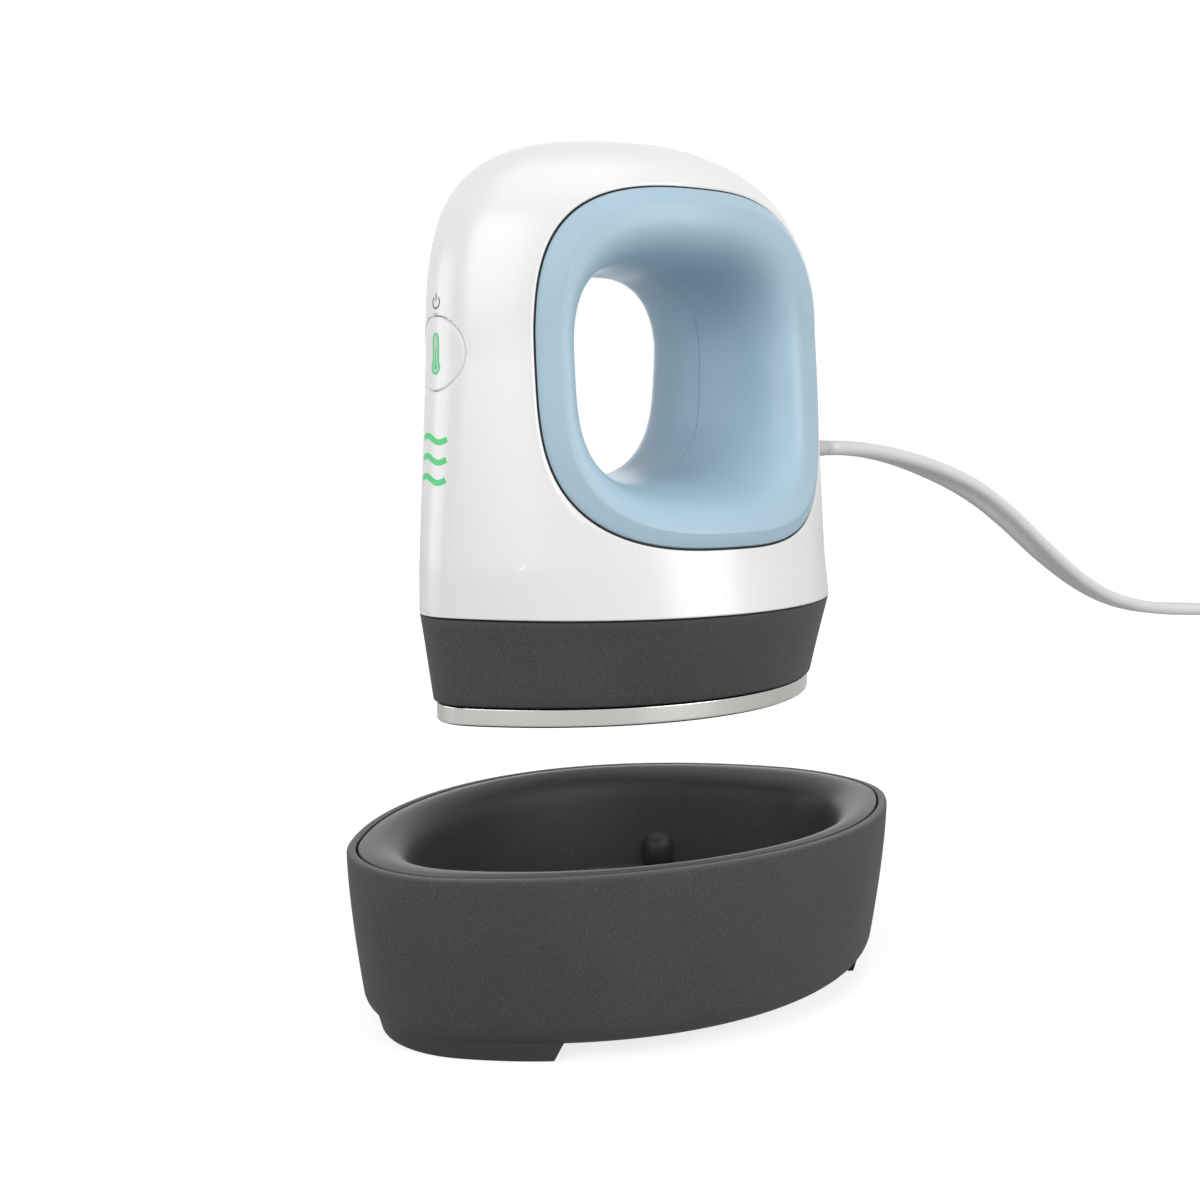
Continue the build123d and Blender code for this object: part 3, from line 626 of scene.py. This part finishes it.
def brushed(name, colour, roughness, grain_size, stretch, depth):
    """Metal with fine marks drawn out along the piece's length, and faint cloudy patches."""
    start, places, material = new_material(name)
    drawn = start.make("ShaderNodeMapping", {"Vector": places, "Scale": (1 / stretch, 1, 1)})
    marks = noise_at(start, drawn, 1 / (grain_size * MM), 4.0)
    clouds = noise_at(start, places, 90.0)
    shade = (marks * 0.25 + clouds * 0.3 + 0.5).mixed(tinted(colour, 0.93), colour)
    uneven = marks * 0.03 + clouds * 0.04 + roughness
    bump = start.make("ShaderNodeBump", {"Strength": 0.3, "Distance": depth * MM, "Height": marks})
    close_material(start, {"Base Color": shade, "Metallic": 1.0, "Roughness": uneven, "Normal": bump})
    return material


plate_metal = brushed("plate_metal", (0.70, 0.685, 0.66), 0.2, 0.25, 12.0, 0.003)
heat_plate = stacked("heat_plate_skin", plate_rings, plate_metal)
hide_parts("heat_plate")
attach(heat_plate, "press")

# Heat shroud: the dark band between plate and housing, in heat-proof plastic with a fine spark texture.
# It flares upwards to the housing's foot, and its edges are just broken.
shroud_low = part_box("heat_shroud")[0].z / MM
seam_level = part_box("heat_shroud")[1].z / MM
shroud_edge = 0.35
shroud_groove = 0.5
shroud_inner = 2.2
shroud_sizes_low = (41.9, 25.0, 8.2)
seam_sizes = (44.3, 30.3, 9.0)


def shroud_ring(height, inset):
    """Ring of the flaring shroud at a height."""
    share = (height - shroud_low) / (seam_level - shroud_low)
    return level_ring(height, between(shroud_sizes_low, seam_sizes, share), inset)


shroud_rings = [shroud_ring(shroud_low, shroud_inner)]
for height, inset in ((0, shroud_edge), (0.06, 0.14), (0.14, 0.06), (shroud_edge, 0)):
    shroud_rings.append(shroud_ring(shroud_low + height, inset))
shroud_wall = seam_level - shroud_groove - shroud_low - shroud_edge
for step in range(1, 12):
    shroud_rings.append(shroud_ring(shroud_low + shroud_edge + shroud_wall * step / 12, 0))
seam_edge = ((shroud_groove, 0), (0.45, 0.02), (0.43, 0.08), (0.42, 1.2), (0, 1.2), (0, shroud_inner))
for sink, inset in seam_edge:
    shroud_rings.append(shroud_ring(seam_level - sink, inset))
shroud_plastic = moulded(
    "dark_shroud", (0.053, 0.053, 0.0533), 0.58, 0.26, 0.07, tint=0.2, speckle=0.7, shine=0.35
)
heat_shroud = stacked("heat_shroud_skin", shroud_rings, shroud_plastic)
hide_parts("heat_shroud")
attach(heat_shroud, "press")

# Housing: an upright arch in white glossy plastic, almond in plan, that narrows from the shroud up to its
# shoulders and closes over the crown. Each flank has a large window for a grip insert.
housing_height = 80.6
shoulder_half_length = 41.8
shoulder_half_width = 25.0
shoulder_end_radius = 11.5
front_shoulder = 42.8
rear_shoulder = 49.6
side_shoulder = 47.6
front_crown = 3.3
rear_crown = 2.13
side_crown = 2.65
tip_share = 0.6
window_middle = (-0.4, 41.3)
window_half_length = 32.1
window_half_height = 30.4
window_front_power = 3.4
window_rear_power = 2.8
housing_wall = 2.0
housing_lean = 0.45
lean_start = 8.0
ray_steps = 44
outline_steps = 330
outline_pull = 1.4
outline_band = 5.0


def half_size(height, low, high, shoulder, power):
    """Half size that tapers evenly up to the shoulder and then closes over the crown."""
    rise = min(1.0, max(0.0, (height - shoulder) / (housing_height - shoulder)))
    return (low - (low - high) * min(height, shoulder) / shoulder) * (1 - rise**power) ** (1 / power)


def housing_sizes(height):
    """Half length, half width, end radius and forward shift of the housing at a height above the seam."""
    front = half_size(height, seam_sizes[0], shoulder_half_length, front_shoulder, front_crown)
    rear = half_size(height, seam_sizes[0], shoulder_half_length, rear_shoulder, rear_crown)
    width = half_size(height, seam_sizes[1], shoulder_half_width, side_shoulder, side_crown)
    radius = seam_sizes[2] + (shoulder_end_radius - seam_sizes[2]) * min(1.0, height / front_shoulder)
    to_top = min(height, housing_height) / housing_height
    lean = housing_lean * min(1.0, height / lean_start) * (1 - to_top**6)
    return (front + rear) / 2, width, min(radius, tip_share * width), (rear - front) / 2 - lean


def flank(x, height):
    """Distance of the housing's side from the middle plane, at a place along it and a height."""
    half_length, width, radius, shift = housing_sizes(height)
    place = abs(x - shift)
    if width < 0.01 or place >= half_length:
        return 0.0
    side_radius = side_arc(half_length, width, radius)
    join = (half_length - radius) * side_radius / (side_radius - radius)
    if place <= join:
        return width - side_radius + math.sqrt(side_radius**2 - place**2)
    return math.sqrt(max(0.0, radius**2 - (place - half_length + radius) ** 2))


def squared_reach(turn, half_length, half_height, front_power, rear_power):
    """Distance from the middle of a rounded-square outline to its edge, in a direction."""
    along, across = math.cos(turn), math.sin(turn)
    power = rear_power if along > 0 else front_power
    return (abs(along / half_length) ** power + abs(across / half_height) ** power) ** (-1 / power)


def ray_place(middle, reach, turn):
    """Place (x, height) at a distance from a middle, in a direction."""
    return middle[0] + reach * math.cos(turn), middle[1] + reach * math.sin(turn)


def window_place(turn, inset=0.0):
    """Place (x, height) on the window's edge, moved inwards, in a direction."""
    sizes = (window_half_length - inset, window_half_height - inset)
    return ray_place(window_middle, squared_reach(turn, *sizes, window_front_power, window_rear_power), turn)


def outline_place(turn):
    """Place (x, height) on the housing's outline in side view, in a direction from the window's middle."""
    low, high = 10.0, 80.0
    for _ in range(50):
        reach = (low + high) / 2
        x, height = ray_place(window_middle, reach, turn)
        half_length, _, _, shift = housing_sizes(height)
        inside = 0 <= height < housing_height and abs(x - shift) < half_length
        low, high = (reach, high) if inside else (low, reach)
    return ray_place(window_middle, low, turn)


def ray_faces(rays, count):
    """Four-cornered faces between neighbouring rays of points, and from the last ray to the first."""
    faces = []
    for ray in range(rays):
        for step in range(count - 1):
            here, there = ray * count + step, (ray + 1) % rays * count + step
            faces.append((here, here + 1, there + 1, there))
    return faces


def walled(made, outwards, thickness):
    """Gives an open skin a wall on its inner side, once its furthest face looks outwards."""
    furthest = max(made.data.polygons, key=lambda face: face.center.dot(outwards))
    if furthest.normal.dot(outwards) < 0:
        made.data.flip_normals()
    wall = made.modifiers.new("wall", "SOLIDIFY")
    wall.thickness = thickness * MM
    wall.offset = -1


# each flank is a fan of rays, from the window's edge out to the seam below and the outline elsewhere
ray_ends = sorted((x, 0.0, abs(y)) for x, y in oval_ring(*seam_sizes, end_steps=24) if y > -1e-6)
first_turn = math.atan2(-window_middle[1], seam_sizes[0] - window_middle[0])
last_turn = math.atan2(-window_middle[1], -seam_sizes[0] - window_middle[0]) + 2 * math.pi
for step in range(1, outline_steps):
    ray_ends.append((*outline_place(first_turn + (last_turn - first_turn) * step / outline_steps), 0.0))
housing_points = []
for end_x, end_height, end_flank in ray_ends:
    turn = math.atan2(end_height - window_middle[1], end_x - window_middle[0])
    start = math.dist(window_middle, window_place(turn))
    end = math.dist(window_middle, (end_x, end_height))
    # the points stand closer towards the outline, where the skin turns over
    power = 1 + outline_pull * math.exp(-end_flank / outline_band)
    for step in range(ray_steps + 1):
        reach = between(start, end, 1 - (1 - step / ray_steps) ** power)
        x, height = ray_place(window_middle, reach, turn)
        height = max(0.0, height)
        y = end_flank if step == ray_steps else flank(x, height)
        housing_points.append((x, -y, seam_level + height))
housing_faces = ray_faces(len(ray_ends), ray_steps + 1)
mirrored = [(x, -y, z) for x, y, z in housing_points]
other_faces = [tuple(len(housing_points) + corner for corner in reversed(face)) for face in housing_faces]
housing_skin = piece("housing_skin", housing_points + mirrored, housing_faces + other_faces)
face_out(housing_skin, apart=0.01, sliver=0.001)
walled(housing_skin, Vector((0, 0, 1)), housing_wall)

# Button hole: a round hole in the front end of the housing that leaves a hair's breadth round the cap. It
# is cut once the skin has its wall, and the housing then gets its finish: hard, white and glossy.
button_height = 43.6
button_radius = 6.1
button_gap = 0.17
button_centre = seam_level + button_height
hole_radius = button_radius + button_gap
hole_ends = (-50.0, -30.0)
circle = arc(120, 0.0, 360.0)[:-1]
hole_rings = []
for x in hole_ends:
    hole_rings.append([(x, hole_radius * c, button_centre + hole_radius * s) for c, s in circle])
hole_tool = stacked("hole_tool", hole_rings)
hole = housing_skin.modifiers.new("hole", "BOOLEAN")
hole.operation = "DIFFERENCE"
hole.solver = "EXACT"
hole.object = hole_tool
white_plastic = moulded("white_shell", (0.86, 0.86, 0.86), 0.3, 0.8, 0.002, tint=0.01, coat=0.4)
housing = finished("housing", housing_skin, white_plastic)
bpy.data.objects.remove(hole_tool)
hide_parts("housing_shell")
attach(housing, "press")

# Grip inserts: two pale blue halves that meet on the middle plane inside the hand hole. Each has a
# bevelled border that stands a millimetre proud of the housing and rolls inwards to the narrow throat.
throat_middle = (-4.0, 40.2)
throat_half_length = 19.8
throat_half_height = 17.8
throat_power = 3.3
insert_gap = 0.4
crest_band = 2.5
crest_rise = 1.0
roll_power = 2.5
crease_slope = 0.4
crease_reach = 3.5
insert_wall = 1.4
parting_edge = 0.07
parting_gap = 0.012
bevel_insets = (2.42, 2.25, 2.0, 1.0, 0.35, 0.16, 0.04, 0.0, 0.0)
bevel_rises = (0.985, 0.93, 0.86, 0.5, 0.26, 0.15, 0.0, -0.15, -1.6)
roll_steps = 40
turns = 320


def insert_profile(turn):
    """Points of an insert from the parting line to its outer edge, in a direction round the hole."""
    throat = squared_reach(turn, throat_half_length, throat_half_height, throat_power, throat_power)
    throat_place = ray_place(throat_middle, throat, turn)
    crest_place = window_place(turn, insert_gap + crest_band)
    roll_reach = math.dist(throat_place, crest_place)
    # the edge at the middle plane is broken by a hair, which leaves a fine parting line
    edge_x, edge_height = ray_place(throat_middle, throat + parting_edge, turn)
    profile = [(edge_x, parting_gap, edge_height)]
    for y in (parting_edge, 3 * parting_edge):
        profile.append((throat_place[0], y, throat_place[1]))
    for c, s in arc(roll_steps)[1:]:
        share = 1 - c ** (2 / roll_power)
        depth = s ** (2 / roll_power)
        x, height = between(throat_place, crest_place, share)
        away = (1 - share) * roll_reach
        hollow = crease_slope * away * math.exp(-away / crease_reach)
        profile.append((x, (flank(x, height) + crest_rise) * depth - hollow * depth, height))
    for inset, rise in zip(bevel_insets, bevel_rises):
        x, height = window_place(turn, insert_gap + inset)
        profile.append((x, flank(x, height) + crest_rise * rise, height))
    return profile


blue_plastic = moulded("blue_grip", (0.415, 0.575, 0.68), 0.42, 0.6, 0.006, tint=0.012, coat=0.08, shine=0.3)
profiles = [insert_profile(2 * math.pi * step / turns) for step in range(turns)]
for side, name in ((-1, "grip_left"), (1, "grip_right")):
    # the two halves mirror each other, so the faces of one run the other way round
    insert_points = [(x, side * y, seam_level + height) for profile in profiles for x, y, height in profile]
    insert_faces = [face[::side] for face in ray_faces(turns, len(profiles[0]))]
    insert = piece(name + "_skin", insert_points, insert_faces)
    walled(insert, Vector((0, side, 0)), insert_wall)
    insert = finished(name, insert, blue_plastic)
    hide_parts("grip_insert_left" if side < 0 else "grip_insert_right")
    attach(insert, "press")

# Chassis collar: the rim of the inner chassis that stands in the gap between housing and insert and holds
# both, made near-black as painted shade:
# far darker than the chassis, it stands in for the shadow in the gap. It lies just below the surface and is
# seen as a fine dark line round each insert.
collar_sink = 0.22
collar_depth = 2.0
collar_hold = 0.05
collar_inner = insert_gap + collar_hold
collar_section = (
    (collar_inner, collar_depth),
    (collar_inner, collar_sink),
    (-collar_hold, collar_sink),
    (-collar_hold, collar_depth),
)
# painted shade: near-black so that the gap round each insert reads as a shadow line
collar_painted_shade = moulded("chassis_collar_painted_shade", (0.018, 0.018, 0.018), 0.6, 0.5, 0.01, shine=0.2)
for side, name in ((-1, "collar_left"), (1, "collar_right")):
    collar_rings = []
    for inset, sink in collar_section:
        edge = [window_place(2 * math.pi * step / turns, inset) for step in range(turns)]
        ring = [(x, side * (flank(x, height) - sink), seam_level + height) for x, height in edge]
        collar_rings.append(ring)
    collar = stacked(name, collar_rings, collar_painted_shade, smooth=False, hoop=True)
    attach(collar, "press")

# Button cap: a white disc that follows the housing's front, with a soft edge. It stands free in its hole
# and goes in by the travel of the switch behind it.
cap_edge = ((0.22, 0.0), (0.1, 0.03), (0.03, 0.1), (0.0, 0.22), (0.0, 2.6))


def front_place(y, height):
    """Place of the housing's front skin along X, at a distance from the middle plane."""
    half_length, width, radius, shift = housing_sizes(height - seam_level)
    side_radius = side_arc(half_length, width, radius)
    join = (side_radius - width) * radius / (side_radius - radius)
    if abs(y) <= join:
        return shift - half_length + radius - math.sqrt(radius**2 - y**2)
    return shift - math.sqrt(side_radius**2 - (abs(y) - width + side_radius) ** 2)


def on_front(places, sink):
    """Ring on the front skin through places (y, height), sunk below it."""
    return [(front_place(y, height) + sink, y, height) for y, height in places]


def front_ring(radius, sink):
    """Round ring on the front skin about the button's centre."""
    return on_front([(radius * c, button_centre + radius * s) for c, s in circle], sink)


cap_rings = [front_ring(button_radius * step / 14, 0.0) for step in range(1, 14)]
for inset, sink in cap_edge:
    cap_rings.append(front_ring(button_radius - inset, sink))
button_cap = stacked("button_cap_skin", cap_rings, white_plastic)
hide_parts("button_cap")
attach(button_cap, "button")

# Thermometer sign: a lit green outline with a green column in it, on a grey window in the button. All
# signs are flush inlays, so each is a skin a few hundredths of a millimetre proud of its surface.
sign_lift = 0.03
inlay_depth = 0.3


def inlay(name, loops, material, lift=sign_lift):
    """Thin skin on the front between two loops of places (y, height), or inside one loop."""
    rings = [on_front(loop, inlay_depth) for loop in loops[::-1]] + [on_front(loop, -lift) for loop in loops]
    return stacked(name, rings, material, smooth=False, hoop=len(loops) > 1)


def thermometer_loop(tube, bulb, top, bulb_height):
    """Outline of a thermometer: a tube with a round top that runs into a round bulb."""
    half_angle = math.degrees(math.asin(tube / bulb))
    loop = [(tube * c, top - tube + tube * s) for c, s in arc(12, 0.0, 180.0)]
    loop += [(bulb * c, bulb_height + bulb * s) for c, s in arc(30, 90 + half_angle, 450 - half_angle)]
    return [(y, seam_level + height) for y, height in loop]


def lit(name, colour, glow):
    """Translucent lens lit from behind, a little uneven."""
    start, places, material = new_material(name)
    uneven = noise_at(start, places, 900.0) * 0.08 + 0.5
    shade = uneven.mixed(tinted(colour, 0.94), tinted(colour, 1.06))
    lamp = {"Emission Color": shade, "Emission Strength": glow}
    close_material(start, {"Base Color": shade, "Roughness": 0.35, "Specular IOR Level": 0.3, **lamp})
    return material


lit_green = lit("wave_lens", (0.085, 0.62, 0.215), 0.12)
window_grey = moulded("thermometer_lens", (0.62, 0.62, 0.62), 0.3, 0.7, 0.003)
bulb_level = 41.4
outer_loop = thermometer_loop(0.95, 1.3, 47.05, bulb_level)
inner_loop = thermometer_loop(0.48, 0.84, 46.6, bulb_level)
stem_loop = thermometer_loop(0.19, 0.5, 44.4, bulb_level + 0.05)
thermometer_outline = inlay("thermometer_outline", [outer_loop, inner_loop], lit_green)
thermometer_field = inlay("thermometer_field", [inner_loop], window_grey, sign_lift - 0.01)
thermometer_column = inlay("thermometer_column", [stem_loop], lit_green, sign_lift + 0.01)
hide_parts("thermometer_window")
for sign in (thermometer_outline, thermometer_field, thermometer_column):
    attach(sign, "button")

# Wave lights: three green ribbons below the button, lit from the light board behind them. They are one
# lens with three waves, let into the housing's front.
wave_heights = (22.85, 26.2, 29.55)
wave_half_width = 3.45
wave_swing = 0.53
wave_stroke = 1.02
wave_depth = 0.4
wave_steps = 28
wave_points = []
wave_faces = []
for wave_height in wave_heights:
    first = len(wave_points)
    for step in range(wave_steps + 1):
        share = step / wave_steps
        y = wave_half_width * (2 * share - 1)
        swing = wave_swing * math.sin(2 * math.pi * share)
        slope = wave_swing * math.pi / wave_half_width * math.cos(2 * math.pi * share)
        lean = 1 / math.hypot(1, slope)
        for side in (1, -1):
            across = y + side * wave_stroke / 2 * slope * lean
            height = seam_level + wave_height - swing + side * wave_stroke / 2 * lean
            for proud in (sign_lift, -wave_depth):
                wave_points.append((front_place(across, height) - proud, across, height))
    for step in range(wave_steps):
        here, there = first + 4 * step, first + 4 * (step + 1)
        for a, b in ((0, 2), (2, 3), (3, 1), (1, 0)):
            wave_faces.append((here + a, here + b, there + b, there + a))
    wave_faces.append((first, first + 1, first + 3, first + 2))
    last = first + 4 * wave_steps
    wave_faces.append((last, last + 2, last + 3, last + 1))
waves = face_out(piece("wave_lights", wave_points, wave_faces, lit_green, smooth=False))
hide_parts("wave_windows")
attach(waves, "press")

# Power sign: an open ring with a stroke in its gap, printed above the button in thin grey lines. The
# print lies flatter on the housing than the wave lights do.
sign_ink = moulded("sign_ink", (0.08, 0.08, 0.08), 0.5, 0.5, 0.002)
ring_radius = 0.98
ring_stroke = 0.29
ring_opening = 38
ring_height = seam_level + 52.0
print_lift = 0.012


def ribbon(points, width):
    """Closed loop of places round a line of places, half the width to each side."""
    left, right_side = [], []
    for i, (y, height) in enumerate(points):
        ahead = points[min(i + 1, len(points) - 1)]
        behind = points[max(i - 1, 0)]
        half = width / 2 / math.dist(ahead, behind)
        across, upward = (behind[1] - ahead[1]) * half, (ahead[0] - behind[0]) * half
        left.append((y + across, height + upward))
        right_side.append((y - across, height - upward))
    return left + right_side[::-1]


ring_turns = arc(40, 90 + ring_opening, 450 - ring_opening)
ring_line = [(ring_radius * c, ring_height + ring_radius * s) for c, s in ring_turns]
stroke_line = [(0, ring_height + 0.15 + 0.15 * step) for step in range(10)]
power_ring = inlay("power_ring", [ribbon(ring_line, ring_stroke)], sign_ink, print_lift)
power_stroke = inlay("power_stroke", [ribbon(stroke_line, ring_stroke)], sign_ink, print_lift)
for sign in (power_ring, power_stroke):
    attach(sign, "press")

# Strain relief: a flat soft grommet moulded on the twin cord, held in the rear wall of the housing by a
# groove. It tapers to little more than the cord and ends where that comes into view.
relief_level = cord_route[0][2]
relief_tip_x = 47.6
relief_sections = (
    (31.6, 3.6, 2.4),
    (31.8, 3.9, 2.7),
    (35.0, 3.9, 2.7),
    (38.5, 3.5, 2.3),
    (42.0, 3.1, 1.85),
    (relief_tip_x - 1, 2.86, 1.58),
    (relief_tip_x - 0.1, 2.83, 1.52),
    (relief_tip_x, 2.8, 1.46),
)
relief_rings = []
for x, half_wide, half_high in relief_sections:
    ring = []
    for c, s in arc(40, 0.0, 360.0)[:-1]:
        y = half_high * c + math.copysign(half_wide - half_high, c)
        ring.append((x, y, relief_level + half_high * s))
    relief_rings.append(ring)
soft_vinyl = moulded("plug_vinyl", (0.60, 0.60, 0.60), 0.45, 0.5, 0.01)
strain_relief = stacked("strain_relief_skin", relief_rings, soft_vinyl)
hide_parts("strain_relief")
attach(strain_relief, "press")

# Plug and tie: a plug body in the same soft vinyl as the strain relief, with two polished brass blades,
# and a pale strap round the coil.
pin_metal = brushed("pin_brass", (0.75, 0.60, 0.36), 0.25, 0.2, 10.0, 0.002)
finish_node(soft_vinyl, "plug_body")
finish_node(pin_metal, "plug_pins")
finish_node(moulded("tie_vinyl", (0.62, 0.62, 0.61), 0.3, 0.8, 0.005, coat=0.3), "cord_tie")

# Heater stack and fastenings, hidden between plate and housing: cast aluminium block, tinted steel
# element, bright steel shield and zinc-plated screws. The boards are laminate, and the lamps clear.
zinc = brushed("screw_steel", (0.55, 0.55, 0.56), 0.35, 0.3, 1.0, 0.004)
finish_node(zinc, "base_fixing_screws", "plate_screws", "housing_fixing_screws", "board_screws")
finish_node(zinc, "tactile_switch")
finish_node(brushed("heater_metal", (0.58, 0.58, 0.58), 0.5, 0.8, 1.0, 0.03), "heater_block")
finish_node(brushed("element_metal", (0.36, 0.31, 0.27), 0.4, 0.3, 12.0, 0.005), "heating_element")
finish_node(brushed("spring_steel", (0.60, 0.60, 0.61), 0.25, 0.4, 10.0, 0.003), "heat_shield")
laminate = moulded("board_laminate", (0.03, 0.17, 0.07), 0.35, 0.9, 0.01, tint=0.12)
finish_node(laminate, "control_board", "light_board")
finish_node(lit("led_lens", (0.75, 0.85, 0.70), 0.2), "indicator_leds")

# The other hidden pieces, each in the colour that such a part mostly has: the finish's name, the piece,
# and what moulded() asks for.
hidden_finishes = (
    ("ceramic_fibre", "insulation_pad", (0.80, 0.78, 0.72), 0.9, 0.7, 0.15, 0.08),
    ("sensor_glaze", "thermistor", (0.62, 0.25, 0.13), 0.15, 1.5, 0.01),
    ("fuse_glaze", "thermal_fuse", (0.76, 0.76, 0.73), 0.2, 1.5, 0.01),
    ("gasket_silicone", "silicone_gasket", (0.50, 0.17, 0.12), 0.6, 0.5, 0.01),
    ("chassis_plastic", "inner_chassis", (0.28, 0.28, 0.27), 0.6, 0.6, 0.03, 0.08),
    ("relay_case", "power_relay", (0.03, 0.09, 0.32), 0.3, 0.8, 0.005),
    ("black_case", "buzzer", (0.02, 0.02, 0.02), 0.5, 0.5, 0.01),
    ("capacitor_sleeve", "capacitor", (0.02, 0.03, 0.08), 0.25, 1.2, 0.004),
    ("terminal_plastic", "terminal_block", (0.05, 0.22, 0.10), 0.4, 0.8, 0.005),
    ("lead_sleeve", "heater_leads", (0.50, 0.05, 0.04), 0.5, 0.6, 0.01),
    ("mains_sleeve", "mains_leads", (0.33, 0.16, 0.07), 0.45, 0.6, 0.01),
)
for finish, name, *look in hidden_finishes:
    finish_node(moulded(finish, *look), name)

# Table and light: a plain pale table that keeps the object's shadow, and soft lamps above and beside it.
# The backdrop is plain white to the eye and to gloss, and gives only a soft fill to the object.
table_reach = 3000
table_matte = (0.45, 0.45, 0.45, 1)
plain_white = (1, 1, 1, 1)
room_fill = 0.16
corners = [(x * table_reach, y * table_reach, -0.02) for x, y in ((-1, -1), (1, -1), (1, 1), (-1, 1))]
floor = piece("table", corners, [(0, 1, 2, 3)])


def seen_plain(start, in_gloss):
    """How far a backdrop shows plain white: wholly to the eye and through a clear piece, less in gloss."""
    to_eye, glossy, through = [start.make("ShaderNodeLightPath", output=ray) for ray in (0, 3, 6)]
    return to_eye.sum_with("MAXIMUM", glossy * in_gloss).sum_with("MAXIMUM", through)


start, places, table_material = new_material("table_white")
matte = start.make("ShaderNodeBsdfDiffuse", {"Color": table_matte})
distance = start.make("ShaderNodeVectorMath", {0: places}, output=1, operation="LENGTH")
strength = distance.ranged(0.12, 0.45, 0.78, 1.0)
glow = start.make("ShaderNodeEmission", {"Color": plain_white, "Strength": strength})
lifted = start.make("ShaderNodeAddShader", {0: matte, 1: glow})
table_look = start.make("ShaderNodeMixShader", {0: seen_plain(start, 0.4), 1: matte, 2: lifted})
start.make("ShaderNodeOutputMaterial", {"Surface": table_look})
floor.data.materials.append(table_material)

world = bpy.data.worlds.new("room")
scene.world = world
world.use_nodes = True
world.node_tree.nodes.clear()
start = Wire(world.node_tree)
fill = start.make("ShaderNodeBackground", {"Color": plain_white, "Strength": room_fill})
white = start.make("ShaderNodeBackground", {"Color": plain_white, "Strength": 1.0})
room = start.make("ShaderNodeMixShader", {0: seen_plain(start, 1.0), 1: fill, 2: white})
start.make("ShaderNodeOutputWorld", {"Surface": room})


def softbox(name, place, aim, width, height, power):
    """Rectangular lamp at a place, pointed at another."""
    data = bpy.data.lights.new(name, "AREA")
    data.shape = "RECTANGLE"
    data.size = width
    data.size_y = height
    data.energy = power
    lamp = placed(name, data)
    lamp.location = place
    lamp.rotation_euler = (Vector(aim) - Vector(place)).to_track_quat("-Z", "Y").to_euler()


softbox("lamp_left", (-0.75, -0.35, 0.45), (0, 0, 0.09), 0.6, 0.6, 3.6)
softbox("lamp_top", (-0.1, -0.15, 0.9), (0, 0, 0.08), 0.7, 0.7, 1.7)
softbox("lamp_behind", (-0.7, 0.5, 0.2), (0, 0, 0.09), 0.5, 0.4, 1.6)
softbox("lamp_rear", (0.55, 0.75, 0.15), (0, 0, 0.08), 0.6, 0.3, 1.0)
softbox("lamp_front", (0.35, -0.9, 0.35), (0, 0, 0.08), 0.6, 0.7, 5.6)

scene.view_settings.view_transform = "Standard"
